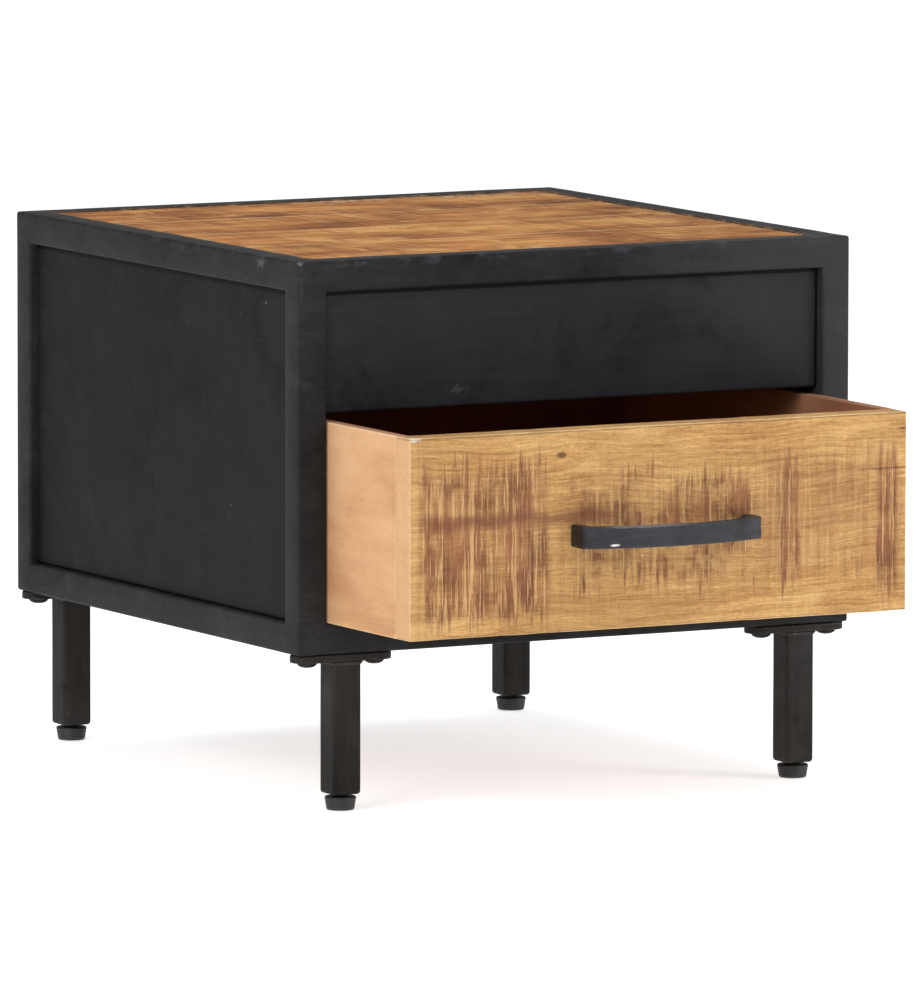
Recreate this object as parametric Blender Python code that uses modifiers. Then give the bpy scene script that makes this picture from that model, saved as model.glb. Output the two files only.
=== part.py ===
"""Side table with one drawer.

A black iron tube frame holds sheet panels, a plank top and a wooden drawer. Its four legs are screwed on.

Metres, +Z up. The front faces -Y, and the table stands on z = 0. At rest the drawer is partly open.
The origin is at the middle of the footprint, measured from the handle to the back of the case.
"""

import math

import bmesh
import bpy
from mathutils import Matrix, Vector

# Overall sizes
WIDTH = 0.400
DEPTH = 0.400
HEIGHT = 0.350
CASE_HEIGHT = 0.250

# Clearances
GAP = 0.0003
DRAWER_SIDE_CLEARANCE = 0.001
DRAWER_UNDER_CLEARANCE = 0.0004
CUT_OVERLAP = 0.001
MERGE_DISTANCE = 0.00001

# Facets: an edge that turns further than EDGE_ANGLE (degrees) stays sharp
EDGE_ANGLE = 40
HOLE_STEPS = 18
HEAD_STEPS = 4

# Steel tube and sheet
TUBE = 0.020
TUBE_WALL = 0.0012
TUBE_RADIUS = 0.0018
CORNER_STEPS = 3
SHEET = 0.0015
SIDE_RECESS = 0.005
FASCIA_RECESS = 0.0075
FASCIA_HEIGHT = 0.0775
FASCIA_LIP = 0.0135

# Plank top
PLANKS = 4
PLANK_THICKNESS = 0.018
PLANK_EDGE = 0.0006
SUPPORT_WIDTH = 0.030
SUPPORT_THICKNESS = 0.003
SUPPORT_OFFSET = 0.110

# Drawer
DRAWER_OPEN = 0.109
DRAWER_TRAVEL_LEFT = 0.150
DRAWER_HEIGHT = 0.1275
DRAWER_LENGTH = 0.362
FRONT_THICKNESS = 0.018
SIDE_THICKNESS = 0.008
BOTTOM_THICKNESS = 0.005
BOTTOM_RISE = 0.006
GROOVE_DEPTH = 0.004
BOARD_EDGE = 0.0007
RUNNER_SHELF = 0.030
RUNNER_DROP = 0.019
GUIDE_HEIGHT = 0.020
STOP_WIDTH = 0.012
STOP_LENGTH = 0.020
STOP_HEIGHT = 0.025
STOP_RISE = 0.009

# Handle
HANDLE_WIDTH = 0.130
HANDLE_HEIGHT = 0.0144
HANDLE_REACH = 0.029
HANDLE_END_REACH = 0.015
HANDLE_STRAP = 0.005
HANDLE_LEG = 0.0085
HANDLE_CORNER = 0.004
HANDLE_EDGE = 0.0009
HANDLE_BOW_STEPS = 14
HANDLE_BELOW_MIDDLE = 0.003
HANDLE_SCREW_RADIUS = 0.0020
HANDLE_SCREW_BITE = 0.008
HANDLE_SCREW_END_GAP = 0.001
HANDLE_SCREW_HEAD_RADIUS = 0.0040
HANDLE_SCREW_HEAD_HEIGHT = 0.0022

# Legs and feet
LEG_OFFSET = 0.165
LEG_BOTTOM = 0.010
PLATE_LENGTH = 0.070
PLATE_THICKNESS = 0.0047
PLATE_STEPS = 8
SCREW_OFFSET = 0.024
SCREW_RADIUS = 0.0024
SCREW_HEAD_RADIUS = 0.0065
SCREW_HEAD_HEIGHT = 0.0032
SCREW_ABOVE_PLATE = 0.006
SCREW_TIP = 0.0008
RAIL_HOLE_LENGTH = 0.006
SCREW_STEPS = 18
INSERT_HEIGHT = 0.012
FOOT_TOP_RADIUS = 0.0100
FOOT_BOTTOM_RADIUS = 0.0088
FOOT_HEIGHT = 0.0085
FOOT_NECK_RADIUS = 0.0049
STUD_RADIUS = 0.0040
STUD_TOP = 0.034
STUD_CHAMFER = 0.0006
FOOT_CHAMFER = 0.0008
FOOT_BASE_CHAMFER = 0.0005
FOOT_STEPS = 28

# Levels and planes that follow from the sizes above
CASE_BOTTOM = HEIGHT - CASE_HEIGHT
FRONT_REACH = DRAWER_OPEN + GAP + HANDLE_REACH
CASE_FRONT = FRONT_REACH - (DEPTH + FRONT_REACH) / 2
CASE_BACK = CASE_FRONT + DEPTH
CASE_MIDDLE = CASE_FRONT + DEPTH / 2
OPENING_BOTTOM = CASE_BOTTOM + TUBE
OPENING_TOP = HEIGHT - TUBE
OPENING_HALF = WIDTH / 2 - TUBE
INSIDE_FRONT = CASE_FRONT + TUBE + GAP
INSIDE_BACK = CASE_BACK - TUBE - GAP
PANEL_LOW = OPENING_BOTTOM + GAP
PANEL_HIGH = OPENING_TOP - GAP
FASCIA_BOTTOM = OPENING_TOP - FASCIA_HEIGHT
FASCIA_BACK = CASE_FRONT + FASCIA_RECESS + FASCIA_LIP

DRAWER_FACE = CASE_FRONT - DRAWER_OPEN
DRAWER_HALF = OPENING_HALF - DRAWER_SIDE_CLEARANCE
DRAWER_LOW = OPENING_BOTTOM + DRAWER_UNDER_CLEARANCE
DRAWER_HIGH = DRAWER_LOW + DRAWER_HEIGHT
DRAWER_INNER_HALF = DRAWER_HALF - SIDE_THICKNESS
DRAWER_INNER_FRONT = DRAWER_FACE + FRONT_THICKNESS
DRAWER_INNER_BACK = DRAWER_FACE + DRAWER_LENGTH - SIDE_THICKNESS
GROOVE_LOW = DRAWER_LOW + BOTTOM_RISE
HANDLE_LEVEL = (DRAWER_LOW + DRAWER_HIGH) / 2 - HANDLE_BELOW_MIDDLE
HANDLE_SCREW_OFFSET = (HANDLE_WIDTH - HANDLE_LEG) / 2

PLATE_TOP = CASE_BOTTOM - GAP
PLATE_LOW = PLATE_TOP - PLATE_THICKNESS

# Finishes: base colour, roughness and metallic
BLACK_IRON = ((0.030, 0.030, 0.032), 0.45, 0.6)
BLACK_STEEL = ((0.035, 0.035, 0.036), 0.40, 0.8)
TOP_WOOD = ((0.42, 0.22, 0.095), 0.50)
FRONT_WOOD = ((0.50, 0.29, 0.13), 0.60)
SIDE_WOOD = ((0.66, 0.40, 0.24), 0.55)
BOTTOM_WOOD = ((0.32, 0.15, 0.08), 0.60)
BLACK_PLASTIC = ((0.018, 0.018, 0.018), 0.50)


def clear_scene():
    for obj in list(bpy.data.objects):
        bpy.data.objects.remove(obj, do_unlink=True)


def new_collection(name):
    collection = bpy.data.collections.new(name)
    bpy.context.scene.collection.children.link(collection)
    return collection


def material(name, colour, roughness, metallic=0.0):
    made = bpy.data.materials.new(name)
    made.use_nodes = True
    shader = made.node_tree.nodes["Principled BSDF"]
    shader.inputs["Base Color"].default_value = (*colour, 1.0)
    shader.inputs["Roughness"].default_value = roughness
    shader.inputs["Metallic"].default_value = metallic
    return made


def add_object(name, mesh, collection, finish=None, location=(0, 0, 0), turn=0.0):
    """Links a mesh into a collection, at a place and turned about Z."""
    obj = bpy.data.objects.new(name, mesh)
    collection.objects.link(obj)
    obj.location = location
    obj.rotation_euler.z = turn
    if finish:
        mesh.materials.append(finish)
    return obj


def box(name, low, high, collection, finish=None, edge=0.0):
    """A box between two corners, with its origin at its centre and its edges bevelled."""
    low = Vector(low)
    high = Vector(high)
    shape = bmesh.new()
    bmesh.ops.create_cube(shape, size=1.0)
    bmesh.ops.scale(shape, vec=high - low, verts=shape.verts)
    mesh = bpy.data.meshes.new(name)
    shape.to_mesh(mesh)
    shape.free()
    obj = add_object(name, mesh, collection, finish, (low + high) / 2)
    if edge:
        bevel = obj.modifiers.new("rounded_edges", "BEVEL")
        bevel.width = edge
        bevel.segments = 1
        bevel.limit_method = "ANGLE"
    return obj


def extruded_mesh(name, loops, thickness):
    """The mesh of a flat outline centred on z = 0, any further loops being holes. Round runs are smooth."""
    curve = bpy.data.curves.new(name, "CURVE")
    curve.dimensions = "2D"
    curve.fill_mode = "BOTH"
    curve.extrude = thickness / 2
    for loop in loops:
        spline = curve.splines.new("POLY")
        spline.points.add(len(loop) - 1)
        for point, (x, y) in zip(spline.points, loop):
            point.co = (x, y, 0.0, 1.0)
        spline.use_cyclic_u = True
    outline = bpy.data.objects.new(name, curve)
    bpy.context.scene.collection.objects.link(outline)
    graph = bpy.context.evaluated_depsgraph_get()
    mesh = bpy.data.meshes.new_from_object(outline.evaluated_get(graph))
    bpy.data.objects.remove(outline)
    weld = bmesh.new()
    weld.from_mesh(mesh)
    bmesh.ops.remove_doubles(weld, verts=weld.verts, dist=MERGE_DISTANCE)
    bmesh.ops.recalc_face_normals(weld, faces=weld.faces)
    weld.to_mesh(mesh)
    weld.free()
    mesh.shade_smooth()
    mesh.set_sharp_from_angle(angle=math.radians(EDGE_ANGLE))
    return mesh


def turned(name, profile, steps, collection, finish, location):
    """(radius, height) points, from the top of the axis down the outer side, turned about Z."""
    mesh = bpy.data.meshes.new(name)
    points = [(radius, 0.0, height) for radius, height in profile]
    edges = [(index, index + 1) for index in range(len(points) - 1)]
    mesh.from_pydata(points, edges, [])
    obj = add_object(name, mesh, collection, finish, location)
    screw = obj.modifiers.new("turned", "SCREW")
    screw.steps = steps
    screw.render_steps = steps
    screw.use_merge_vertices = True
    screw.merge_threshold = MERGE_DISTANCE
    screw.use_smooth_shade = True
    return obj


def cylinder_cutter(name, radius, centres, direction, length, collection):
    """Cylinders of one radius along +Z or -Y, centred on each point, in one cutter."""
    shape = bmesh.new()
    for centre in centres:
        place = Matrix.Translation(centre)
        if direction == "Y":
            place = place @ Matrix.Rotation(math.radians(90), 4, "X")
        bmesh.ops.create_cone(
            shape,
            cap_ends=True,
            segments=HOLE_STEPS,
            radius1=radius,
            radius2=radius,
            depth=length,
            matrix=place,
        )
    mesh = bpy.data.meshes.new(name)
    shape.to_mesh(mesh)
    shape.free()
    return as_cutter(add_object(name, mesh, collection))


def as_cutter(obj):
    obj.hide_render = True
    obj.display_type = "WIRE"
    return obj


def cut(obj, cutter):
    modifier = obj.modifiers.new(cutter.name, "BOOLEAN")
    modifier.operation = "DIFFERENCE"
    modifier.object = cutter


def circle(radius, steps, centre=(0.0, 0.0)):
    angles = [2 * math.pi * step / steps for step in range(steps)]
    x, y = centre
    return [(x + radius * math.cos(angle), y + radius * math.sin(angle)) for angle in angles]


def arc(centre, radius, start, end, steps):
    """Points of an arc between two angles in degrees."""
    angles = [math.radians(start + (end - start) * step / steps) for step in range(steps + 1)]
    x, y = centre
    return [(x + radius * math.cos(angle), y + radius * math.sin(angle)) for angle in angles]


def dome(radius, height):
    """The outline of a rounded screw head, from its crown down to its rim."""
    angles = [math.radians(90 * step / HEAD_STEPS) for step in range(1, HEAD_STEPS)]
    slope = [(radius * math.sin(angle), height * math.cos(angle)) for angle in angles]
    return [(0.0, height), *slope, (radius, 0.0)]


def rounded_square(side, radius):
    inset = side / 2 - radius
    corners = [(inset, inset, 0), (-inset, inset, 90), (-inset, -inset, 180), (inset, -inset, 270)]
    points = []
    for x, y, start in corners:
        points += arc((x, y), radius, start, start + 90, CORNER_STEPS)
    return points


def square(side):
    half = side / 2
    return [(half, half), (-half, half), (-half, -half), (half, -half)]


def tube_mesh(name, length):
    """A square tube with rounded outer corners, upright and open at both ends."""
    return extruded_mesh(name, [rounded_square(TUBE, TUBE_RADIUS), square(TUBE - 2 * TUBE_WALL)], length)


def mitred_tube_mesh(name, length):
    """A square tube along X, its ends cut at 45 degrees, longest on its outer side at -Y."""
    mesh = tube_mesh(name, length)
    mesh.transform(Matrix.Rotation(math.radians(90), 4, "Y"))
    for vertex in mesh.vertices:
        setback = vertex.co.y + TUBE / 2
        vertex.co.x = math.copysign(abs(vertex.co.x) - setback, vertex.co.x)
    return mesh


def ring(prefix, level, collection, finish):
    """Four mitred rails round the case at one level. Returns them by side."""
    sides = [
        ("front", 0, WIDTH, DEPTH),
        ("right", 90, DEPTH, WIDTH),
        ("back", 180, WIDTH, DEPTH),
        ("left", 270, DEPTH, WIDTH),
    ]
    rails = {}
    for side, degrees, length, span in sides:
        name = f"{prefix}_rail_{side}"
        turn = math.radians(degrees)
        reach = (span - TUBE) / 2
        place = (reach * math.sin(turn), CASE_MIDDLE - reach * math.cos(turn), level)
        mesh = mitred_tube_mesh(name, length - GAP * math.sqrt(2))
        rails[side] = add_object(name, mesh, collection, finish, place, turn)
    return rails


def corners():
    """The name, X sign and rail centre in Y of each corner."""
    for row, y in (("front", CASE_FRONT + TUBE / 2), ("back", CASE_BACK - TUBE / 2)):
        for side, sign in (("left", -1), ("right", 1)):
            yield f"{row}_{side}", sign, y


def mirrored(low, high, sign):
    """Two box corners given for the right side, for the side with this X sign."""
    if sign > 0:
        return low, high
    return (-high[0], low[1], low[2]), (-low[0], high[1], high[2])


def build_frame(parts, finish):
    ring("top", HEIGHT - TUBE / 2, parts, finish)
    lower = ring("bottom", CASE_BOTTOM + TUBE / 2, parts, finish)
    post_length = OPENING_TOP - OPENING_BOTTOM - 2 * GAP
    for corner, sign, y in corners():
        name = f"corner_post_{corner}"
        place = (sign * (WIDTH - TUBE) / 2, y, (OPENING_TOP + OPENING_BOTTOM) / 2)
        add_object(name, tube_mesh(name, post_length), parts, finish, place)
    return lower


def build_panels(parts, finish):
    """Sheets set back in the frame: two sides, a back, and a fascia with its lower edge folded in."""
    outer = WIDTH / 2 - SIDE_RECESS
    for side, sign in (("left", -1), ("right", 1)):
        low = (outer - SHEET, INSIDE_FRONT, PANEL_LOW)
        high = (outer, INSIDE_BACK, PANEL_HIGH)
        low, high = mirrored(low, high, sign)
        box(f"side_panel_{side}", low, high, parts, finish)
    half = OPENING_HALF - GAP
    back = CASE_BACK - SIDE_RECESS
    box("back_panel", (-half, back - SHEET, PANEL_LOW), (half, back, PANEL_HIGH), parts, finish)
    front = CASE_FRONT + FASCIA_RECESS
    folded = [
        (front, FASCIA_BOTTOM),
        (front + FASCIA_LIP, FASCIA_BOTTOM),
        (front + FASCIA_LIP, FASCIA_BOTTOM + SHEET),
        (front + SHEET, FASCIA_BOTTOM + SHEET),
        (front + SHEET, PANEL_HIGH),
        (front, PANEL_HIGH),
    ]
    mesh = extruded_mesh("front_fascia", [folded], 2 * half)
    # The outline lies in Y and Z, and runs along X.
    mesh.transform(Matrix(((0, 0, 1, 0), (1, 0, 0, 0), (0, 1, 0, 0), (0, 0, 0, 1))))
    add_object("front_fascia", mesh, parts, finish)


def build_top(parts, wood, steel):
    """Planks side by side in the frame, on two flat bars that tie the front and back rails."""
    room = INSIDE_BACK - INSIDE_FRONT
    width = (room - (PLANKS - 1) * GAP) / PLANKS
    half = OPENING_HALF - GAP
    high = HEIGHT - GAP
    low = HEIGHT - PLANK_THICKNESS
    top = low - GAP
    for index in range(PLANKS):
        name = f"top_plank_{index + 1}"
        start = INSIDE_FRONT + index * (width + GAP)
        box(name, (-half, start, low), (half, start + width, high), parts, wood, PLANK_EDGE)
    for side, sign in (("left", -1), ("right", 1)):
        middle = sign * SUPPORT_OFFSET
        box(
            f"top_support_{side}",
            (middle - SUPPORT_WIDTH / 2, INSIDE_FRONT, top - SUPPORT_THICKNESS),
            (middle + SUPPORT_WIDTH / 2, INSIDE_BACK, top),
            parts,
            steel,
        )


def build_slideway(parts, steel, wood):
    """Angle-iron runners under the drawer sides, and wooden guides beside them."""
    outer = OPENING_HALF - GAP
    top = OPENING_BOTTOM + DRAWER_UNDER_CLEARANCE - GAP
    angle = [
        (outer, top),
        (outer - RUNNER_SHELF, top),
        (outer - RUNNER_SHELF, top - SHEET),
        (outer - SHEET, top - SHEET),
        (outer - SHEET, top - RUNNER_DROP),
        (outer, top - RUNNER_DROP),
    ]
    guide_outer = WIDTH / 2 - SIDE_RECESS - SHEET - GAP
    for side, sign in (("left", -1), ("right", 1)):
        outline = [(sign * x, z) for x, z in angle]
        mesh = extruded_mesh(f"runner_{side}", [outline], INSIDE_BACK - INSIDE_FRONT)
        # The outline lies in X and Z, and runs along Y.
        mesh.transform(Matrix(((1, 0, 0, 0), (0, 0, -1, 0), (0, 1, 0, 0), (0, 0, 0, 1))))
        add_object(f"drawer_runner_{side}", mesh, parts, steel, (0, CASE_MIDDLE, 0))
        low, high = mirrored(
            (OPENING_HALF, INSIDE_FRONT, PANEL_LOW),
            (guide_outer, INSIDE_BACK, PANEL_LOW + GUIDE_HEIGHT),
            sign,
        )
        box(f"drawer_guide_{side}", low, high, parts, wood)


def build_drawer_box(parts, cutters, front_wood, side_wood, bottom_wood):
    """Front, sides and back, grooved for the bottom, with two stop blocks."""
    high = DRAWER_HIGH
    back = DRAWER_FACE + DRAWER_LENGTH
    groove_half = DRAWER_INNER_HALF + GROOVE_DEPTH
    groove = as_cutter(
        box(
            "drawer_groove",
            (-groove_half, DRAWER_INNER_FRONT - GROOVE_DEPTH, GROOVE_LOW),
            (groove_half, DRAWER_INNER_BACK + GROOVE_DEPTH, GROOVE_LOW + BOTTOM_THICKNESS + 2 * GAP),
            cutters,
        )
    )
    front = box(
        "drawer_front",
        (-DRAWER_HALF, DRAWER_FACE, DRAWER_LOW),
        (DRAWER_HALF, DRAWER_INNER_FRONT, high),
        parts,
        front_wood,
        BOARD_EDGE,
    )
    back_half = DRAWER_INNER_HALF - GAP
    rear = box(
        "drawer_back",
        (-back_half, DRAWER_INNER_BACK, DRAWER_LOW),
        (back_half, back, high),
        parts,
        side_wood,
        BOARD_EDGE,
    )
    boards = [front, rear]
    stop_front = FASCIA_BACK + DRAWER_TRAVEL_LEFT + GAP
    stop_outer = DRAWER_INNER_HALF - GAP
    stop_top = high + STOP_RISE
    stops = []
    for side, sign in (("left", -1), ("right", 1)):
        low_corner, high_corner = mirrored(
            (DRAWER_INNER_HALF, DRAWER_INNER_FRONT + GAP, DRAWER_LOW),
            (DRAWER_HALF, back, high),
            sign,
        )
        boards.append(box(f"drawer_side_{side}", low_corner, high_corner, parts, side_wood, BOARD_EDGE))
        low_corner, high_corner = mirrored(
            (stop_outer - STOP_WIDTH, stop_front, stop_top - STOP_HEIGHT),
            (stop_outer, stop_front + STOP_LENGTH, stop_top),
            sign,
        )
        stops.append(box(f"drawer_stop_{side}", low_corner, high_corner, parts, side_wood, BOARD_EDGE))
    for board in boards:
        cut(board, groove)
    bottom = box(
        "drawer_bottom",
        (-groove_half + GAP, DRAWER_INNER_FRONT - GROOVE_DEPTH + GAP, GROOVE_LOW + GAP),
        (groove_half - GAP, DRAWER_INNER_BACK + GROOVE_DEPTH - GAP, GROOVE_LOW + GAP + BOTTOM_THICKNESS),
        parts,
        bottom_wood,
    )
    return front, [*boards, *stops, bottom]


def handle_outline():
    """The bow handle seen from above, front towards -Y: two square legs joined by a bowed strap."""
    half = HANDLE_WIDTH / 2
    sagitta = HANDLE_REACH - HANDLE_END_REACH
    radius = (half * half + sagitta * sagitta) / (2 * sagitta)
    middle_y = radius - HANDLE_REACH
    outer_angle = math.degrees(math.asin((half - HANDLE_CORNER) / radius))
    outer = arc((0, middle_y), radius, 270 - outer_angle, 270 + outer_angle, HANDLE_BOW_STEPS)
    inner_half = half - HANDLE_LEG
    inner_radius = radius - HANDLE_STRAP
    inner_angle = math.degrees(math.asin(inner_half / inner_radius))
    inner = arc((0, middle_y), inner_radius, 270 + inner_angle, 270 - inner_angle, HANDLE_BOW_STEPS)
    shoulder = -HANDLE_END_REACH
    right_corner = arc((half - HANDLE_CORNER, shoulder + HANDLE_CORNER / 4), HANDLE_CORNER, 315, 360, 2)
    left_corner = [(-x, y) for x, y in reversed(right_corner)]
    right_foot = [(half, 0.0), (inner_half, 0.0)]
    left_foot = [(-inner_half, 0.0), (-half, 0.0)]
    return outer + right_corner + right_foot + inner + left_foot + left_corner


def build_handle(parts, cutters, front, iron, steel):
    """The bow handle, and the two screws that hold it through the drawer front."""
    mesh = extruded_mesh("drawer_handle", [handle_outline()], HANDLE_HEIGHT)
    handle = add_object("drawer_handle", mesh, parts, iron, (0, DRAWER_FACE - GAP, HANDLE_LEVEL))
    bevel = handle.modifiers.new("worn_edges", "BEVEL")
    bevel.width = HANDLE_EDGE
    bevel.segments = 2
    bevel.limit_method = "ANGLE"
    bevel.angle_limit = math.radians(EDGE_ANGLE)
    offsets = (-HANDLE_SCREW_OFFSET, HANDLE_SCREW_OFFSET)
    hole_length = FRONT_THICKNESS + HANDLE_SCREW_BITE + 2 * CUT_OVERLAP
    hole_middle = DRAWER_INNER_FRONT + CUT_OVERLAP - hole_length / 2
    holes = cylinder_cutter(
        "handle_screw_holes",
        HANDLE_SCREW_RADIUS + GAP,
        [(x, hole_middle, HANDLE_LEVEL) for x in offsets],
        "Y",
        hole_length,
        cutters,
    )
    cut(handle, holes)
    cut(front, holes)
    shank = FRONT_THICKNESS + HANDLE_SCREW_BITE - HANDLE_SCREW_END_GAP
    profile = [
        *dome(HANDLE_SCREW_HEAD_RADIUS, HANDLE_SCREW_HEAD_HEIGHT),
        (HANDLE_SCREW_RADIUS, 0.0),
        (HANDLE_SCREW_RADIUS, -shank),
        (0.0, -shank - SCREW_TIP),
    ]
    screws = []
    for side, x in zip(("left", "right"), offsets):
        place = (x, DRAWER_INNER_FRONT + GAP, HANDLE_LEVEL)
        screw = turned(f"handle_screw_{side}", profile, SCREW_STEPS, parts, steel, place)
        screw.rotation_euler.x = math.radians(-90)
        screws.append(screw)
    return [handle, *screws]


def build_legs(parts, cutters, bottom_rails, iron, steel, plastic):
    """Four legs: a plate under the frame, its two screws, the tube, and a plug for the foot's thread."""
    spots = [(corner, (sign * LEG_OFFSET, y)) for corner, sign, y in corners()]
    offsets = (-SCREW_OFFSET, SCREW_OFFSET)
    screw_centres = [(x + offset, y, CASE_BOTTOM) for _, (x, y) in spots for offset in offsets]
    hole_radius = SCREW_RADIUS + GAP
    holes = cylinder_cutter("leg_screw_holes", hole_radius, screw_centres, "Z", RAIL_HOLE_LENGTH, cutters)
    for rail in bottom_rails.values():
        cut(rail, holes)
    end = PLATE_LENGTH / 2 - TUBE / 2
    outline = arc((end, 0), TUBE / 2, -90, 90, PLATE_STEPS)
    outline += arc((-end, 0), TUBE / 2, 90, 270, PLATE_STEPS)
    plate_holes = [circle(hole_radius, HOLE_STEPS, (offset, 0)) for offset in offsets]
    for corner, (x, y) in spots:
        name = f"leg_plate_{corner}"
        mesh = extruded_mesh(name, [outline, *plate_holes], PLATE_THICKNESS)
        add_object(name, mesh, parts, iron, (x, y, (PLATE_TOP + PLATE_LOW) / 2))
        name = f"leg_tube_{corner}"
        tube_top = PLATE_LOW - GAP
        mesh = tube_mesh(name, tube_top - LEG_BOTTOM)
        add_object(name, mesh, parts, iron, (x, y, (tube_top + LEG_BOTTOM) / 2))
        name = f"foot_plug_{corner}"
        plug = [square(TUBE - 2 * TUBE_WALL - 2 * GAP), circle(STUD_RADIUS + GAP, FOOT_STEPS)]
        mesh = extruded_mesh(name, plug, INSERT_HEIGHT)
        add_object(name, mesh, parts, plastic, (x, y, LEG_BOTTOM + GAP + INSERT_HEIGHT / 2))
        for side, offset in zip(("left", "right"), offsets):
            place = (x + offset, y, PLATE_LOW - GAP)
            build_leg_screw(f"leg_screw_{corner}_{side}", place, parts, steel)
    return spots


def build_leg_screw(name, place, parts, steel):
    """A dome-headed screw, head down against the plate."""
    shank = PLATE_THICKNESS + GAP + SCREW_ABOVE_PLATE
    head = reversed(dome(SCREW_HEAD_RADIUS, SCREW_HEAD_HEIGHT))
    profile = [(0.0, shank), (SCREW_RADIUS, shank - SCREW_TIP), (SCREW_RADIUS, 0.0)]
    profile += [(radius, -rise) for radius, rise in head]
    turned(name, profile, SCREW_STEPS, parts, steel, place)


def build_feet(parts, spots, plastic):
    """Levelling feet: a tapered pad moulded on a threaded stud. Each one's origin is on its own axis."""
    neck_top = LEG_BOTTOM - 2 * GAP
    profile = [
        (0.0, STUD_TOP),
        (STUD_RADIUS - STUD_CHAMFER, STUD_TOP),
        (STUD_RADIUS, STUD_TOP - STUD_CHAMFER),
        (STUD_RADIUS, neck_top),
        (FOOT_NECK_RADIUS, neck_top),
        (FOOT_NECK_RADIUS, FOOT_HEIGHT),
        (FOOT_TOP_RADIUS - FOOT_CHAMFER, FOOT_HEIGHT),
        (FOOT_TOP_RADIUS, FOOT_HEIGHT - FOOT_CHAMFER),
        (FOOT_BOTTOM_RADIUS, FOOT_BASE_CHAMFER),
        (FOOT_BOTTOM_RADIUS - FOOT_BASE_CHAMFER, 0.0),
        (0.0, 0.0),
    ]
    for corner, (x, y) in spots:
        turned(f"levelling_foot_{corner}", profile, FOOT_STEPS, parts, plastic, (x, y, 0))


def join_to_slide(pieces, parts):
    """Parents the drawer's pieces to an empty on the slide axis."""
    slide = bpy.data.objects.new("drawer_slide_axis", None)
    parts.objects.link(slide)
    slide.location = (0, DRAWER_FACE, (DRAWER_LOW + DRAWER_HIGH) / 2)
    bpy.context.view_layer.update()
    for piece in pieces:
        piece.parent = slide
        piece.matrix_parent_inverse = slide.matrix_world.inverted()


def main():
    clear_scene()
    parts = new_collection("side_table_with_drawer")
    cutters = new_collection("cutters")
    iron = material("black_coated_iron", *BLACK_IRON)
    steel = material("blackened_steel", *BLACK_STEEL)
    top_wood = material("top_planks", *TOP_WOOD)
    front_wood = material("rough_sawn_front", *FRONT_WOOD)
    side_wood = material("drawer_sides", *SIDE_WOOD)
    bottom_wood = material("drawer_bottom_board", *BOTTOM_WOOD)
    plastic = material("black_plastic", *BLACK_PLASTIC)

    bottom_rails = build_frame(parts, iron)
    build_panels(parts, iron)
    build_top(parts, top_wood, steel)
    build_slideway(parts, steel, side_wood)
    front, drawer = build_drawer_box(parts, cutters, front_wood, side_wood, bottom_wood)
    drawer += build_handle(parts, cutters, front, iron, steel)
    join_to_slide(drawer, parts)
    spots = build_legs(parts, cutters, bottom_rails, iron, steel, plastic)
    build_feet(parts, spots, plastic)


main()
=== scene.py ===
import itertools
import math

import bmesh
import bpy
import numpy as np
from mathutils import Matrix, Vector


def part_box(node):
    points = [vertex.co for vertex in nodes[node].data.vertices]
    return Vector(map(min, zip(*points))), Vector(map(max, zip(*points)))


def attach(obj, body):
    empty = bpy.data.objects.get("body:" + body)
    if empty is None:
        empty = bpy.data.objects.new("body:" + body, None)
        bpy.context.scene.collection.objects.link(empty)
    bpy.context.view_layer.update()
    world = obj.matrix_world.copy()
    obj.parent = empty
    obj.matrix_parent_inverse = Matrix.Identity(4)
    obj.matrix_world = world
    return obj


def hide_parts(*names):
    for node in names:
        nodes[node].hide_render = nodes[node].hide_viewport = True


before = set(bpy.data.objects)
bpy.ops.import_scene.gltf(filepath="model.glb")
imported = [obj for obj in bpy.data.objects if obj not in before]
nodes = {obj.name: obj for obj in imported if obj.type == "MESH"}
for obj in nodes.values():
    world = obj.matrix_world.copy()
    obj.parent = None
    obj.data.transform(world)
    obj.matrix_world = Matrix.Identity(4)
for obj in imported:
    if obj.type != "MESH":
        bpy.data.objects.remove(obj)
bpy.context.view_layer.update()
scene = bpy.context.scene

CORNERS = ("front_left", "front_right", "back_left", "back_right")
SIDES = ("left", "right")
WORD = 0xFFFFFFFF
TUBE = 0.020


# ---------------------------------------------------------------- mesh helpers

def value_noise(points, seed):
    """Smooth noise from -1 to 1 at each point, one cell per unit."""
    cell = np.floor(points).astype(np.int64)
    part = points - cell
    ease = part * part * (3 - 2 * part)
    total = np.zeros(len(points))
    for corner in itertools.product((0, 1), repeat=3):
        x, y, z = ((cell + corner) * (73856093, 19349663, 83492791)).T
        mixed = (x ^ y ^ z ^ (seed * 40503 + 977)) & WORD
        mixed = ((mixed ^ (mixed >> 15)) * 2246822519) & WORD
        mixed = ((mixed ^ (mixed >> 13)) * 3266489917) & WORD
        mixed = mixed ^ (mixed >> 16)
        x, y, z = np.where(corner, ease, 1 - ease).T
        total += x * y * z * (mixed / WORD * 2 - 1)
    return total


def lines_between(low, high, radius, step):
    """Grid lines from low to high, closer together where the edge is rounded."""
    turn = np.array([radius * (1 - math.tan(math.radians(angle))) for angle in (45, 34, 23, 11.5)])
    count = max(1, round((high - low - 2 * radius) / step))
    middle = np.linspace(low + radius, high - radius, count + 1)
    return np.concatenate([low + turn, middle, (high - turn)[::-1]])


def new_mesh(name, points, faces):
    """A smooth-shaded mesh."""
    mesh = bpy.data.meshes.new(name)
    mesh.from_pydata(np.asarray(points, float).tolist(), [], faces)
    mesh.update()
    mesh.shade_smooth()
    return mesh


def side_of(key, axis, far):
    """The four corner keys of one side of a grid cell."""
    u, v = [a for a in range(3) if a != axis]
    quad = []
    for du, dv in ((0, 0), (1, 0), (1, 1), (0, 1)):
        corner = list(key)
        corner[axis] += far
        corner[u] += du
        corner[v] += dv
        quad.append(tuple(corner))
    return quad


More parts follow.
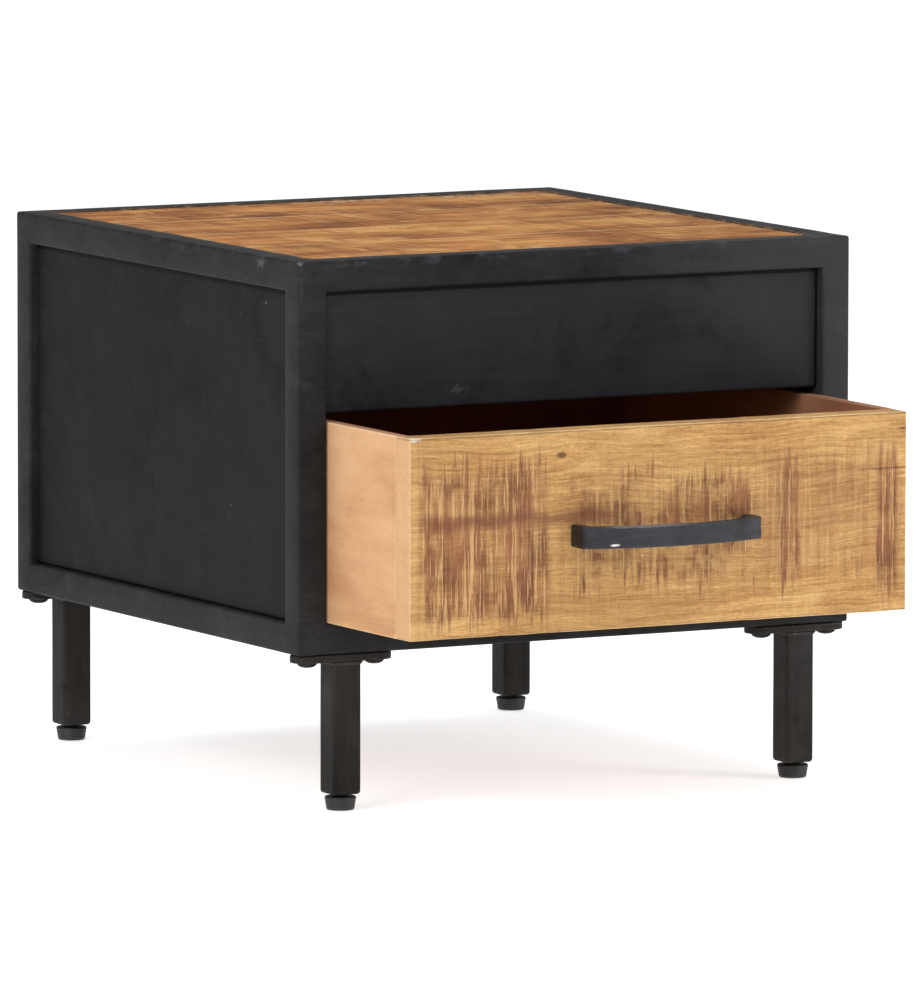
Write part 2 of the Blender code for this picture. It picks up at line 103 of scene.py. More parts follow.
def on_grid(lines, quads):
    """The points and faces of quads whose corners are keys into three lists of grid lines."""
    index = {}
    faces = [[index.setdefault(key, len(index)) for key in quad] for quad in quads]
    return np.array([[lines[a][key[a]] for a in range(3)] for key in index]), faces


def board_mesh(name, low, high, radius, steps, shape=None):
    """A board with rounded edges, whose faces are grids. shape(points, normals) moves its points."""
    low = np.array(low, float)
    high = np.array(high, float)
    lines = [lines_between(low[a], high[a], radius, steps[a]) for a in range(3)]
    quads = []
    inward = []
    for axis in range(3):
        u, v = [a for a in range(3) if a != axis]
        for end in (0, len(lines[axis]) - 1):
            for i in range(len(lines[u]) - 1):
                for j in range(len(lines[v]) - 1):
                    key = [0, 0, 0]
                    key[axis], key[u], key[v] = end, i, j
                    quads.append(side_of(key, axis, 0))
                    inward.append((end > 0) != (axis != 1))
    points, faces = on_grid(lines, quads)
    faces = [face[::-1] if turned else face for face, turned in zip(faces, inward)]
    inner = np.clip(points, low + radius, high - radius)
    normals = points - inner
    length = np.linalg.norm(normals, axis=1, keepdims=True)
    normals = normals / np.maximum(length, 1e-12)
    points = inner + normals * radius
    if shape is not None:
        points = shape(points, normals)
    return new_mesh(name, points, faces)


def piece(name, mesh, body, material, slot, *stands_for):
    """Adds a visible piece that rides on a body and stands for some CAD nodes."""
    obj = bpy.data.objects.new(name, mesh)
    scene.collection.objects.link(obj)
    if not mesh.materials:
        mesh.materials.append(material)
    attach(obj, body)
    if stands_for:
        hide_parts(*stands_for)
    return obj


def rounded(mesh, width, segments, angle, triangles=False):
    """The mesh with its edges rounded where they turn by more than an angle."""
    holder = bpy.data.objects.new("holder", mesh)
    scene.collection.objects.link(holder)
    bevel = holder.modifiers.new("bevel", "BEVEL")
    bevel.width = width
    bevel.segments = segments
    bevel.limit_method = "ANGLE"
    bevel.angle_limit = math.radians(angle)
    if triangles:
        cut = holder.modifiers.new("triangulate", "TRIANGULATE")
        cut.quad_method = cut.ngon_method = "BEAUTY"
    evaluated = holder.evaluated_get(bpy.context.evaluated_depsgraph_get())
    result = bpy.data.meshes.new_from_object(evaluated)
    result.name = mesh.name
    bpy.data.objects.remove(holder)
    result.materials.clear()
    result.shade_smooth()
    return result


def extruded(name, outline, bottom, top):
    """An upright solid from its (x, y) outline."""
    work = bmesh.new()
    face = work.faces.new([work.verts.new((x, y, bottom)) for x, y in outline])
    grown = bmesh.ops.extrude_face_region(work, geom=[face])
    lifted = [part for part in grown["geom"] if isinstance(part, bmesh.types.BMVert)]
    bmesh.ops.translate(work, verts=lifted, vec=(0, 0, top - bottom))
    bmesh.ops.recalc_face_normals(work, faces=work.faces)
    mesh = bpy.data.meshes.new(name)
    work.to_mesh(mesh)
    work.free()
    return mesh


def push_out(mesh, amounts):
    """Moves each point along its normal by amounts(points)."""
    points = coordinates(mesh)
    normals = np.empty(points.size)
    mesh.vertices.foreach_get("normal", normals)
    moved = points + normals.reshape(-1, 3) * amounts(points)[:, None]
    mesh.vertices.foreach_set("co", moved.reshape(-1))
    mesh.update()


def outward(mesh):
    """Turns the faces outwards."""
    work = bmesh.new()
    work.from_mesh(mesh)
    bmesh.ops.recalc_face_normals(work, faces=work.faces)
    work.to_mesh(mesh)
    work.free()


def finer(mesh, longest):
    """The mesh with its long edges split."""
    work = bmesh.new()
    work.from_mesh(mesh)
    for _ in range(7):
        long_edges = [edge for edge in work.edges if edge.calc_length() > longest * 1.5]
        if not long_edges:
            break
        bmesh.ops.subdivide_edges(work, edges=long_edges, cuts=1, use_grid_fill=True)
    work.to_mesh(mesh)
    work.free()
    mesh.shade_smooth()
    return mesh


def store(mesh, name, values):
    """Keeps one number per vertex for the materials to read."""
    attribute = mesh.attributes.new(name, "FLOAT", "POINT")
    attribute.data.foreach_set("value", np.asarray(values, np.float32))


def coordinates(mesh):
    values = np.empty(len(mesh.vertices) * 3)
    mesh.vertices.foreach_get("co", values)
    return values.reshape(-1, 3)


def revolved(name, profile, steps, centre, sharp, shape):
    """A round mesh about a vertical axis, from (radius, height) points that shape(points) moves."""
    points = []
    faces = []
    rows = []
    for radius, height in profile:
        if radius < 1e-7:
            rows.append([len(points)])
            points.append((0, 0, height))
            continue
        rows.append(list(range(len(points), len(points) + steps)))
        for step in range(steps):
            angle = 2 * math.pi * step / steps
            points.append((radius * math.cos(angle), radius * math.sin(angle), height))
    for above, below in zip(rows, rows[1:]):
        for step in range(steps):
            after = (step + 1) % steps
            corners = ((above, step), (below, step), (below, after), (above, after))
            quad = [row[n % len(row)] for row, n in corners]
            kept = [v for k, v in enumerate(quad) if v not in quad[:k]]
            if len(kept) > 2:
                faces.append(kept)
    points = shape(np.array(points, float)) + np.array(centre, float)
    mesh = new_mesh(name, points, faces)
    outward(mesh)
    mesh.set_sharp_from_angle(angle=math.radians(sharp))
    return mesh


# ------------------------------------------------------------ material helpers

def linear(red, green, blue):
    """A colour given as 0 to 255, as light."""
    values = [c / 255 for c in (red, green, blue)]
    return tuple(c / 12.92 if c <= 0.04045 else ((c + 0.055) / 1.055) ** 2.4 for c in values) + (1.0,)


class Value:
    """A node's output in a material under construction. +, - and * make more nodes."""

    def __init__(self, graph, socket):
        self.graph = graph
        self.socket = socket

    def __add__(self, other):
        return self.graph.calc("ADD", self, other)

    def __radd__(self, other):
        return self.graph.calc("ADD", other, self)

    def __sub__(self, other):
        return self.graph.calc("SUBTRACT", self, other)

    def __rsub__(self, other):
        return self.graph.calc("SUBTRACT", other, self)

    def __mul__(self, other):
        return self.graph.calc("MULTIPLY", self, other)


class Graph:
    """A material under construction."""

    def __init__(self, name):
        self.material = bpy.data.materials.new(name)
        self.material.use_nodes = True
        self.tree = self.material.node_tree
        self.tree.nodes.clear()
        output = self.tree.nodes.new("ShaderNodeOutputMaterial")
        self.shader = self.tree.nodes.new("ShaderNodeBsdfPrincipled")
        self.tree.links.new(self.shader.outputs["BSDF"], output.inputs["Surface"])
        self.place = self.node("ShaderNodeTexCoord", {}, "Object")
        split = self.node("ShaderNodeSeparateXYZ", {0: self.place}).socket.node
        self.x, self.y, self.z = (Value(self, socket) for socket in split.outputs)

    def node(self, kind, inputs, output=0, **settings):
        """The value of one output of a new node, whose inputs are set by number or by name."""
        made = self.tree.nodes.new(kind)
        for key, value in settings.items():
            setattr(made, key, value)
        for key, value in inputs.items():
            self.put(made.inputs[key], value)
        return Value(self, made.outputs[output])

    def put(self, socket, value):
        if isinstance(value, Value):
            self.tree.links.new(value.socket, socket)
        else:
            socket.default_value = value

    def calc(self, operation, a, b=0.0, clamp=False):
        return self.node("ShaderNodeMath", {0: a, 1: b}, operation=operation, use_clamp=clamp)

    def larger(self, a, b):
        return self.calc("MAXIMUM", a, b)

    def vector(self, x, y, z):
        return self.node("ShaderNodeCombineXYZ", {0: x, 1: y, 2: z})

    def vector_calc(self, operation, a, b=(0.0, 0.0, 0.0), output=0):
        return self.node("ShaderNodeVectorMath", {0: a, 1: b}, output, operation=operation)

    def stretched(self, source, scale):
        """The source times a scale, which is one number or three."""
        if not isinstance(scale, tuple):
            scale = (scale, scale, scale)
        return self.vector_calc("MULTIPLY", source, scale)

    def noise(self, scale, detail, roughness=0.55, distortion=0.0, source=None):
        """Noise from 0 to 1, over the place on the object unless a source is given."""
        place = self.stretched(self.place if source is None else source, scale)
        inputs = {"Vector": place, "Scale": 1.0, "Detail": detail, "Roughness": roughness}
        return self.node("ShaderNodeTexNoise", {**inputs, "Distortion": distortion}, "Fac")

    def cells(self, source, scale):
        """The distance from the nearest of many scattered points."""
        inputs = {"Vector": self.stretched(source, scale), "Scale": 1.0}
        return self.node("ShaderNodeTexVoronoi", inputs, "Distance")

    def step(self, value, low, high, to_low=0.0, to_high=1.0):
        """A smooth step from to_low to to_high as the value goes from low to high."""
        inputs = dict(enumerate((value, low, high, to_low, to_high)))
        return self.node("ShaderNodeMapRange", inputs, interpolation_type="SMOOTHSTEP")

    def torn(self, value, noise, amount, low, high):
        """A step from low to high whose line is torn by noise."""
        return self.step(value + noise * amount, low, high)

    def window(self, value, low, high, soft):
        """1 between low and high, fading over soft."""
        rise = self.step(value, low - soft, low + soft)
        fall = self.step(value, high - soft, high + soft, 1.0, 0.0)
        return rise * fall

    def ramp(self, value, *stops):
        """A colour for each value. A stop is a value and a tone of 0 to 255, or four numbers of light."""
        made = self.node("ShaderNodeValToRGB", {0: value})
        elements = made.socket.node.color_ramp.elements
        while len(elements) < len(stops):
            elements.new(0.5)
        for element, (position, tone) in zip(elements, stops):
            element.position = position
            element.color = tone if len(tone) == 4 else linear(*tone)
        return made

    def mix(self, amount, a, b):
        inputs = {0: amount, 6: a, 7: b}
        return self.node("ShaderNodeMix", inputs, 2, data_type="RGBA", clamp_factor=True)

    def tint(self, colour, mask, amount, tone):
        """The colour with some of a tone, given as 0 to 255, laid over it where the mask is near 1."""
        return self.mix(mask * amount, colour, linear(*tone))

    def shade(self, colour, amount):
        """The colour made lighter or darker by a number."""
        return self.node("ShaderNodeVectorMath", {0: colour, "Scale": amount}, operation="SCALE")

    def stored(self, name):
        return self.node("ShaderNodeAttribute", {}, "Fac", attribute_name=name)

    def edges(self, radius):
        """Near 1 where the surface turns a corner within radius, and 0 on the flat."""
        turned = self.node("ShaderNodeBevel", {"Radius": radius}, samples=6)
        normal = self.node("ShaderNodeNewGeometry", {}, "Normal")
        dot = self.vector_calc("DOT_PRODUCT", turned, normal, "Value")
        return self.calc("SUBTRACT", 1.0, dot, clamp=True)

    def length(self, vector):
        return self.vector_calc("LENGTH", vector, output="Value")

    def mark(self, colour, centre, size, tone, amount, ragged):
        """A spot of another tone at a place on the object, softer the less ragged it is."""
        offset = self.vector_calc("SUBTRACT", self.place, centre)
        distance = self.length(self.stretched(offset, tuple(1 / s for s in size)))
        spot = self.step(distance + (self.noise(260, 4, 0.75) - 0.5) * ragged, 1.1, 0.4)
        return self.tint(colour, spot, amount, tone)

    def bump(self, height, distance, strength, under=None):
        """The normal bent by a height, on top of another normal where there is one."""
        inputs = {"Strength": strength, "Distance": distance, "Height": height}
        if under is not None:
            inputs["Normal"] = under
        return self.node("ShaderNodeBump", inputs)

    def finish(self, colour, roughness, normal=None, **fixed):
        self.put(self.shader.inputs["Base Color"], colour)
        self.put(self.shader.inputs["Roughness"], roughness)
        if normal is not None:
            self.put(self.shader.inputs["Normal"], normal)
        for key, value in fixed.items():
            self.shader.inputs[key.replace("_", " ")].default_value = value
        return self.material


# ------------------------------------------------------------------- materials

def iron(name, dark, light, streak_scale, rough, gloss, wear=1.0, marks=(), rim=None, seam_shade=None):
    """Iron with a thin black coat: smoky, faintly brushed, greyer on its edges, scratched here and there."""
    g = Graph(name)
    clouds = g.noise(8, 6, 0.62)
    smoke = g.noise(24, 5, 0.65, 0.8)
    brushed = g.noise(streak_scale, 4, 0.65)
    grit = g.noise(900, 2, 0.6)
    blend = clouds * 0.5 + (smoke * 0.25 + brushed * 0.25)
    middle = [(d + l) / 2 for d, l in zip(dark, light)]
    colour = g.ramp(blend, (0.38, dark), (0.52, middle), (0.66, light))
    dabs = g.step(g.noise(15, 6, 0.68, 0.7), 0.50, 0.70)
    colour = g.tint(colour, dabs, 0.60, [d * 0.50 for d in dark])
    blue = g.step(g.noise((21, 21, 34), 5, 0.7), 0.50, 0.74)
    colour = g.tint(colour, blue, 0.16 * wear, (66, 70, 82))
    rubbed = g.step(g.noise(19, 5, 0.7), 0.58, 0.70)
    colour = g.tint(colour, rubbed, 0.14 * wear, (84, 82, 80))
    near = g.edges(0.0022)
    edge_noise = g.noise(110, 4, 0.7)
    edge = g.step(near * (0.25 + edge_noise), 0.03, 0.16)
    colour = g.tint(colour, edge, 0.40 * wear, (92, 91, 91))
    chips = g.step(near * g.step(g.noise(85, 4, 0.65), 0.56, 0.66), 0.03, 0.12)
    colour = g.tint(colour, chips, 0.55 * wear, (150, 146, 140))
    specks = g.step(g.cells(g.place, 60), 0.075, 0.02)
    specks = specks * g.step(g.noise(21, 2), 0.60, 0.66)
    colour = g.tint(colour, specks, 0.6, (140, 136, 130))
    scratch = g.step(g.noise((12, 900, 240), 2, 0.5), 0.70, 0.74)
    scratch = scratch * g.step(g.noise(15, 2), 0.54, 0.62)
    colour = g.tint(colour, scratch, 0.35 * wear, (120, 118, 116))
    # some marks are painted sheen, highlight or shade rather than wear
    for centre, size, tone, amount, ragged in marks:
        colour = g.mark(colour, centre, size, tone, amount, ragged)
    if rim is not None:
        colour = worn_rim(g, colour, *rim)
    # painted shade along the joints round a sheet
    if seam_shade is not None:
        colour = painted_seam_shade(g, colour, *seam_shade)
    roughness = rough - 0.10 + (blend + grit * 0.3) * 0.16
    normal = g.bump(smoke + brushed * 0.25, 0.0016, 0.35)
    normal = g.bump(grit, 0.00006, 0.6, normal)
    return g.finish(colour, roughness, normal, Metallic=0.0, Specular_IOR_Level=gloss)


def worn_rim(g, colour, low, high):
    """Rubbed paint on the frame's upper edges, and wood dust on its top face beside the planks."""
    rubbed = g.step(g.noise((46, 46, 70), 5, 0.72), 0.50, 0.66)
    upper = g.step(g.z, high.z - 0.0060, high.z - 0.0012)
    upper = upper * g.step(g.y, high.y, low.y, 0.35, 1.0)
    colour = g.tint(colour, rubbed * upper, 0.27, (100, 106, 116))
    out_x = g.larger(low.x - g.x, g.x - high.x)
    out_y = g.larger(low.y - g.y, g.y - high.y)
    out = g.larger(out_x, out_y)
    ragged = (g.noise(34, 5, 0.7) - 0.5) * 0.020
    near = g.step(out + ragged, 0.0054, 0.0030)
    mask = near * g.step(g.z, high.z - 0.0012, high.z - 0.0004)
    dust = g.noise(170, 4, 0.7)
    tone = g.ramp(dust, (0.42, (58, 44, 34)), (0.56, (104, 76, 52)), (0.66, (150, 122, 92)))
    return g.mix(mask * 0.80, colour, tone)


def painted_seam_shade(g, colour, low, high, ends):
    """Painted shade in the joints along a sheet's top and bottom edges, and along its ends where ends is 1.
    """
    ragged = (g.noise(70, 3, 0.6) - 0.5) * 0.0016
    top = g.step(high.z - g.z + ragged, 0.0032, 0.0020)
    bottom = g.step(g.z - low.z + ragged, 0.0019, 0.0009)
    side = g.step(high.x - g.calc("ABSOLUTE", g.x) + ragged, 0.0022, 0.0010, 0.0, ends)
    seam_shade = g.larger(g.larger(top, bottom), side)
    # the joints are darkened as painted shade
    return g.tint(colour, seam_shade, 0.92, (9, 9, 9))


def plastic(name):
    """Dusty black plastic with a fine grain."""
    g = Graph(name)
    grain = g.cells(g.place, 1400)
    dust = g.noise((60, 60, 40), 4, 0.65)
    colour = g.ramp(dust, (0.35, (22, 22, 22)), (0.75, (52, 50, 47)))
    edge = g.step(g.edges(0.0008), 0.03, 0.2)
    colour = g.tint(colour, edge, 0.35, (92, 90, 86))
    return g.finish(colour, 0.45 + dust * 0.15, g.bump(grain, 0.00008, 0.4))


def steel(name, tone, rough):
    """Drawn steel, with lighter edges."""
    g = Graph(name)
    clouds = g.noise(40, 5, 0.6)
    streaks = g.noise((30, 700, 700), 3, 0.6)
    colour = g.ramp(clouds, (0.3, tone), (0.7, [c * 0.75 for c in tone]))
    colour = g.shade(colour, 0.8 + streaks * 0.4)
    edge = g.step(g.edges(0.0005), 0.03, 0.25)
    colour = g.tint(colour, edge, 0.4, (150, 146, 140))
    rough = rough + clouds * 0.15
    return g.finish(colour, rough, g.bump(streaks, 0.00005, 0.4), Metallic=0.85)


class Wood(Graph):
    """Wood whose grain runs along the first of its axes. A board's stored number shifts its figure."""

    def __init__(self, name, axes, ring, sway):
        super().__init__(name)
        along, across, depth = (getattr(self, axis) for axis in axes)
        shift = self.stored("board")
        self.along = along + shift * 3.7
        self.across = across + shift * 0.61
        self.depth = depth
        self.run = self.vector(self.along, self.across, self.depth)
        drift = self.noise((6, 14, 14), 3, 0.5, source=self.run)
        ripple = self.noise((40, 70, 70), 3, 0.6, source=self.run)
        bend = drift * (sway * 2.2) + ripple * (sway * 0.10)
        bent = self.across + bend
        layers = (self.along * 1.4, bent * (1 / ring), self.depth * 60)
        rings = self.noise(1, 2, 0.5, source=self.vector(*layers))
        self.rings = self.step(rings, 0.40, 0.62)
        self.lines = self.step(rings, 0.56, 0.66)
        flow = self.vector(self.along, bent, self.depth)
        self.fibre = self.noise((28, 620, 620), 4, 0.65, source=flow)
        self.fine = self.noise((70, 1700, 1700), 3, 0.6, source=flow)
        self.streak = self.noise((5, 90, 90), 5, 0.62, 0.3, source=flow)
        self.pores = self.step(self.noise((70, 1500, 1500), 2, 0.5, source=flow), 0.63, 0.72)
        self.cloud = self.noise((9, 17, 17), 4, 0.6, source=self.run)

    def figure(self, rings, **parts):
        """How dark the grain is, from 0 to 1: the share of the rings and of each other part."""
        total = self.rings * rings
        for name, share in parts.items():
            total = total + getattr(self, name) * share
        return total

    def pale_and_highlit_edges(self, colour, amount, top_highlight, tone):
        """The colour with lighter edges, worn pale, and with a painted highlight strongest along the edges
        at the level of the drawer's top.
        """
        edge = self.torn(self.stored("edge"), self.noise(120, 4, 0.7), 0.5, 0.92, 1.18)
        # painted highlight: the edges at the drawer's top level are lightened most
        top = self.step(self.z, DRAWER_TOP - 0.0012, DRAWER_TOP - 0.0002, amount, top_highlight)
        return self.tint(colour, edge, top, tone)


def top_wood():
    """Weathered planks: pale and brown patches, old saw lines across them, and worn edges."""
    g = Wood("top_wood", "xyz", ring=0.006, sway=0.014)
    tone = g.stored("tone")
    dark = g.figure(rings=0.06, fibre=0.11, streak=0.17, fine=0.08, cloud=0.58)
    dark = dark + tone * 0.05
    colour = g.ramp(
        dark,
        (0.39, (228, 168, 100)),
        (0.47, (200, 137, 77)),
        (0.55, (164, 104, 57)),
        (0.66, (112, 68, 38)),
    )
    red = g.step(g.noise((5, 10, 12), 4, 0.6, source=g.run) + tone * 0.10, 0.50, 0.66)
    colour = g.mix(red * 0.45, colour, g.mix(0.5, colour, linear(126, 64, 34)))
    pale = g.step(g.noise((18, 15, 22), 5, 0.68, 0.5, source=g.run), 0.52, 0.66)
    colour = g.tint(colour, pale, 0.60, (240, 186, 116))
    smudges = g.step(g.noise((24, 17, 22), 6, 0.74, 0.8, source=g.run), 0.53, 0.68)
    colour = g.tint(colour, smudges, 0.42 + g.stored("grey") * 0.40, (88, 60, 42))
    knots = g.step(g.cells(g.stretched(g.run, (0.55, 1, 1)), 11), 0.09, 0.03)
    colour = g.tint(colour, knots, 0.7, (74, 44, 30))
    saw_lines = g.noise((230, 9, 22), 4, 0.65)
    saw_zone = g.step(g.noise((8, 12, 8), 4, 0.6), 0.40, 0.56)
    saw = g.step(saw_lines, 0.47, 0.60) * saw_zone
    colour = g.tint(colour, saw, 0.27, (104, 62, 36))
    light_saw = g.step(saw_lines, 0.45, 0.36) * saw_zone
    colour = g.tint(colour, light_saw, 0.18, (238, 192, 130))
    arris = g.torn(g.stored("joint"), g.noise(38, 5, 0.75), 1.4, 1.10, 1.55)
    colour = g.tint(colour, arris, 0.40, (232, 190, 136))
    # darker towards the right: painted shade
    colour = g.shade(colour, g.step(g.x, 0.02, 0.19, 0.97, 0.82))
    thin = g.torn(g.stored("rim"), g.noise(40, 5, 0.7), 0.35, 1.02, 1.16)
    colour = g.tint(colour, thin, 0.72, (216, 180, 136))
    back = g.step(g.y, RIM[1].y - 0.045, RIM[1].y - 0.004) * g.step(g.x, -0.22, 0.16, 0.55, 1.0)
    scuffed = g.step(back * 0.55 + g.noise((36, 24, 36), 5, 0.66), 0.90, 1.08)
    flakes = g.noise((150, 90, 150), 5, 0.75)
    rim_tone = g.ramp(flakes, (0.40, (70, 54, 44)), (0.52, (150, 126, 102)), (0.62, (214, 204, 190)))
    colour = g.mix(scuffed * 0.62, colour, rim_tone)
    colour = g.tint(colour, g.step(g.stored("gap"), 0.3, 1.0), 0.6, (50, 31, 21))
    colour = g.tint(colour, g.pores, 0.26, (84, 52, 34))
    rough = 0.52 + (g.fibre + g.cloud) * 0.14
    height = g.fibre * 0.7 + g.pores * -0.5
    height = height + saw * -0.6
    return g.finish(colour, rough, g.bump(height, 0.0006, 0.7), Specular_IOR_Level=0.12)


def front_wood(low, high):
    """The rough-sawn drawer front: honey brown, with purple-brown saw burns down it in patches."""
    g = Wood("front_wood", "xzy", ring=0.0034, sway=0.012)
    rise = g.z - low.z
    wobble = g.noise(45, 4, 0.65) - 0.5
    ragged = g.noise((330, 20, 2), 4, 0.75) - 0.5
    across = g.x + wobble * 0.010
    upward = rise + (wobble * 0.014 + ragged * 0.085)
    dark = g.figure(rings=0.04, fibre=0.22, streak=0.16, fine=0.28, cloud=0.30)
    colour = g.ramp(
        dark,
        (0.37, (230, 190, 126)),
        (0.47, (202, 156, 97)),
        (0.56, (172, 124, 72)),
        (0.70, (124, 80, 45)),
    )
    lined = g.step(g.noise((8, 20, 14), 3, 0.6, source=g.run), 0.46, 0.62)
    colour = g.tint(colour, g.lines * lined, 0.20, (126, 84, 52))
    speckle = g.noise((260, 400, 560), 6, 0.86)
    colour = g.shade(colour, 0.27 + speckle * 1.44)
    golden = g.step(g.noise((16, 20, 34), 5, 0.68, 0.6), 0.50, 0.66)
    colour = g.tint(colour, golden, 0.46, (226, 184, 122))
    browned = g.step(g.noise((13, 21, 30), 5, 0.7, 0.6), 0.54, 0.70)
    colour = g.tint(colour, browned, 0.34, (146, 98, 62))
    olive = g.step(g.noise((7, 18, 14), 4, 0.6, source=g.run), 0.50, 0.64)
    colour = g.tint(colour, olive, 0.22, (182, 146, 92))
    burn = g.ramp(g.noise((60, 20, 30), 3, 0.6), (0.40, (106, 62, 41)), (0.62, (146, 92, 62)))
    hair = g.step(g.noise((560, 30, 8), 4, 0.72), 0.46, 0.54)
    bands = g.step(g.noise((150, 20, 7), 4, 0.68), 0.42, 0.54)
    patches = g.noise((24, 20, 30), 4, 0.65)
    # zones of saw burns: dense at the left, patchy behind the handle, stripes at the right
    tall = g.window(upward, 0.012, 0.104, 0.007)
    left = g.window(across, -0.170, -0.081, 0.004) * tall
    left = left * g.step(patches, 0.30, 0.46, 0.80, 1.0)
    middle = g.window(across, -0.066, 0.068, 0.010) * g.window(upward, 0.030, 0.094, 0.007)
    middle = middle * g.step(patches, 0.41, 0.55, 0.16, 0.95)
    stripes = g.window(upward, 0.026, 0.100, 0.006) * 0.90
    stripes = g.window(across, 0.085, 0.101, 0.003) * stripes
    right = g.window(across, 0.157, 0.173, 0.003) * g.window(upward, 0.018, 0.104, 0.010)
    faint = g.window(upward, 0.030, 0.100, 0.01) * 0.34
    faint = g.window(across, 0.066, 0.160, 0.01) * faint
    left_end = g.window(across, -0.174, -0.166, 0.002) * 0.25
    zones = g.larger(g.larger(left, middle), g.larger(stripes, right))
    zones = g.larger(zones, g.larger(faint, left_end))
    fill = g.step(g.noise(38, 4, 0.65), 0.42, 0.58)
    thread = 0.22 + (hair * 0.30 + bands * 0.36)
    burnt = zones * (fill * 0.34 + thread)
    colour = g.mix(g.calc("MINIMUM", burnt, 0.94), colour, burn)
    light_hair = g.step(g.noise((480, 44, 16), 4, 0.74), 0.53, 0.58)
    colour = g.tint(colour, light_hair * (0.20 + zones), 0.46, (232, 188, 128))
    streaky = g.step(g.noise((520, 30, 9), 3, 0.6), 0.50, 0.66)
    colour = g.tint(colour, streaky, g.window(rise, 0.016, 0.110, 0.008) * 0.15, (120, 78, 52))
    level = g.window(rise + wobble * 0.012, 0.069, 0.077, 0.004)
    band = level * g.window(across, -0.172, -0.03, 0.02)
    colour = g.tint(colour, band, 0.72, (118, 70, 47))
    # a dark knot by the top edge, and cracks at the right end
    knot = g.length(g.vector((g.x + 0.071) * 0.55, 0.0, rise - 0.112))
    knot = g.step(knot + wobble * 0.002, 0.0026, 0.0012)
    colour = g.tint(colour, knot, 0.8, (84, 52, 36))
    crack = g.window(rise, 0.1165, 0.1171, 0.0003) * g.step(across, 0.172, 0.176)
    level = g.window(rise + wobble * 0.002, 0.0915, 0.0922, 0.0004)
    second = level * g.step(across, 0.146, 0.156)
    crack = g.larger(crack, second * 0.6)
    colour = g.tint(colour, crack, 0.9, (58, 36, 26))
    splinter = (low.x + 0.0030, low.y, high.z)
    colour = g.mark(colour, splinter, (0.0052, 0.005, 0.0026), (244, 242, 236), 0.95, 2.2)
    end_grain = g.step(g.calc("ABSOLUTE", g.x), high.x - 0.0006, high.x - 0.0002)
    peach = g.ramp(dark, (0.36, (224, 178, 134)), (0.66, (198, 146, 102)))
    colour = g.mix(end_grain, colour, peach)
    pale_end = g.step(g.x + wobble * 0.002, low.x + 0.008, low.x + 0.005)
    colour = g.tint(colour, pale_end, 0.18, (226, 182, 124))
    colour = g.pale_and_highlit_edges(colour, 0.36, 0.75, (238, 208, 162))
    colour = g.tint(colour, g.pores, 0.30, (112, 74, 50))
    saw = g.noise((520, 12, 12), 2, 0.5)
    height = g.fibre * 0.6 + saw * 0.7
    height = height + crack * -2.0
    rough = 0.58 + g.fibre * 0.18
    return g.finish(colour, rough, g.bump(height, 0.0007, 0.8), Specular_IOR_Level=0.25)


def plain_wood(name, axes, pale, mid, deep, stained_from=None):
    """Smooth wood. The drawer's sides are stained darker inside, from a distance to the middle."""
    g = Wood(name, axes, ring=0.010, sway=0.006)
    dark = g.figure(rings=0.02, fibre=0.09, streak=0.07, fine=0.12, cloud=0.70)
    colour = g.ramp(dark, (0.36, pale), (0.50, mid), (0.66, deep))
    soiled = g.step(g.noise(26, 5, 0.65), 0.52, 0.72)
    colour = g.mix(soiled * 0.16, colour, g.shade(colour, 0.74))
    specks = g.step(g.cells(g.place, 90), 0.07, 0.02)
    colour = g.tint(colour, specks, 0.35, (132, 84, 54))
    speckle = g.noise(700, 2, 0.6)
    colour = g.shade(colour, 0.86 + speckle * 0.28)
    colour = g.pale_and_highlit_edges(colour, 0.34, 0.70, (240, 212, 172))
    colour = g.tint(colour, g.pores, 0.14, (140, 92, 60))
    if stained_from is not None:
        stain = g.step(g.calc("ABSOLUTE", g.x), stained_from, stained_from - 0.0012)
        stained = g.ramp(dark, (0.36, (190, 134, 102)), (0.66, (152, 98, 72)))
        colour = g.mix(stain * 0.9, colour, stained)
    height = g.fibre * 0.5 + speckle * 0.3
    rough = 0.55 + g.fibre * 0.12
    return g.finish(colour, rough, g.bump(height, 0.0002, 0.5), Specular_IOR_Level=0.25)


FRAME_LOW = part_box("corner_post_front_left")[0]
RIM = (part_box("top_plank_1")[0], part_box("top_plank_4")[1])
TOP_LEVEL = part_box("top_rail_front")[1].z
FASCIA_LOW, FASCIA_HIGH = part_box("front_fascia")
HANDLE_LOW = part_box("drawer_handle")[0]
DRAWER_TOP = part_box("drawer_front")[1].z
RAGGED = 4.5
SOFT = 0.6


def marks_from(origin, *marks):
    """Marks with their centres moved by an origin. A mark is (centre, half sizes, tone, amount, ragged)."""
    return [(Vector(centre) + Vector(origin), *rest) for centre, *rest in marks]


CORNER_SCUFFS_AND_SHEEN = marks_from(
    (FRAME_LOW.x, FRAME_LOW.y, TOP_LEVEL),
    ((0, 0, -0.001), (0.0034, 0.0034, 0.0018), (138, 140, 146), 0.5, RAGGED),
    ((0, 0.052, -0.005), (0.004, 0.006, 0.003), (98, 104, 98), 0.5, RAGGED),
    ((0.002, 0, -0.016), (0.0012, 0.004, 0.012), (74, 76, 82), 0.25, RAGGED),
    # a broad soft lighter patch over the right of the front: painted sheen
    ((0.200 - FRAME_LOW.x, 0, -0.03), (0.17, 0.024, 0.16), (86, 86, 88), 0.30, SOFT),
)
FASCIA_SMUDGE_AND_SHEEN = marks_from(
    (0, FASCIA_LOW.y, FASCIA_LOW.z),
    ((-0.083, 0, 0.011), (0.006, 0.004, 0.0026), (84, 84, 86), 0.5, RAGGED),
    # a broad soft lighter patch on the right of the fascia: painted sheen
    ((0.18, 0, 0.07), (0.10, 0.03, 0.08), (74, 74, 76), 0.20, SOFT),
)
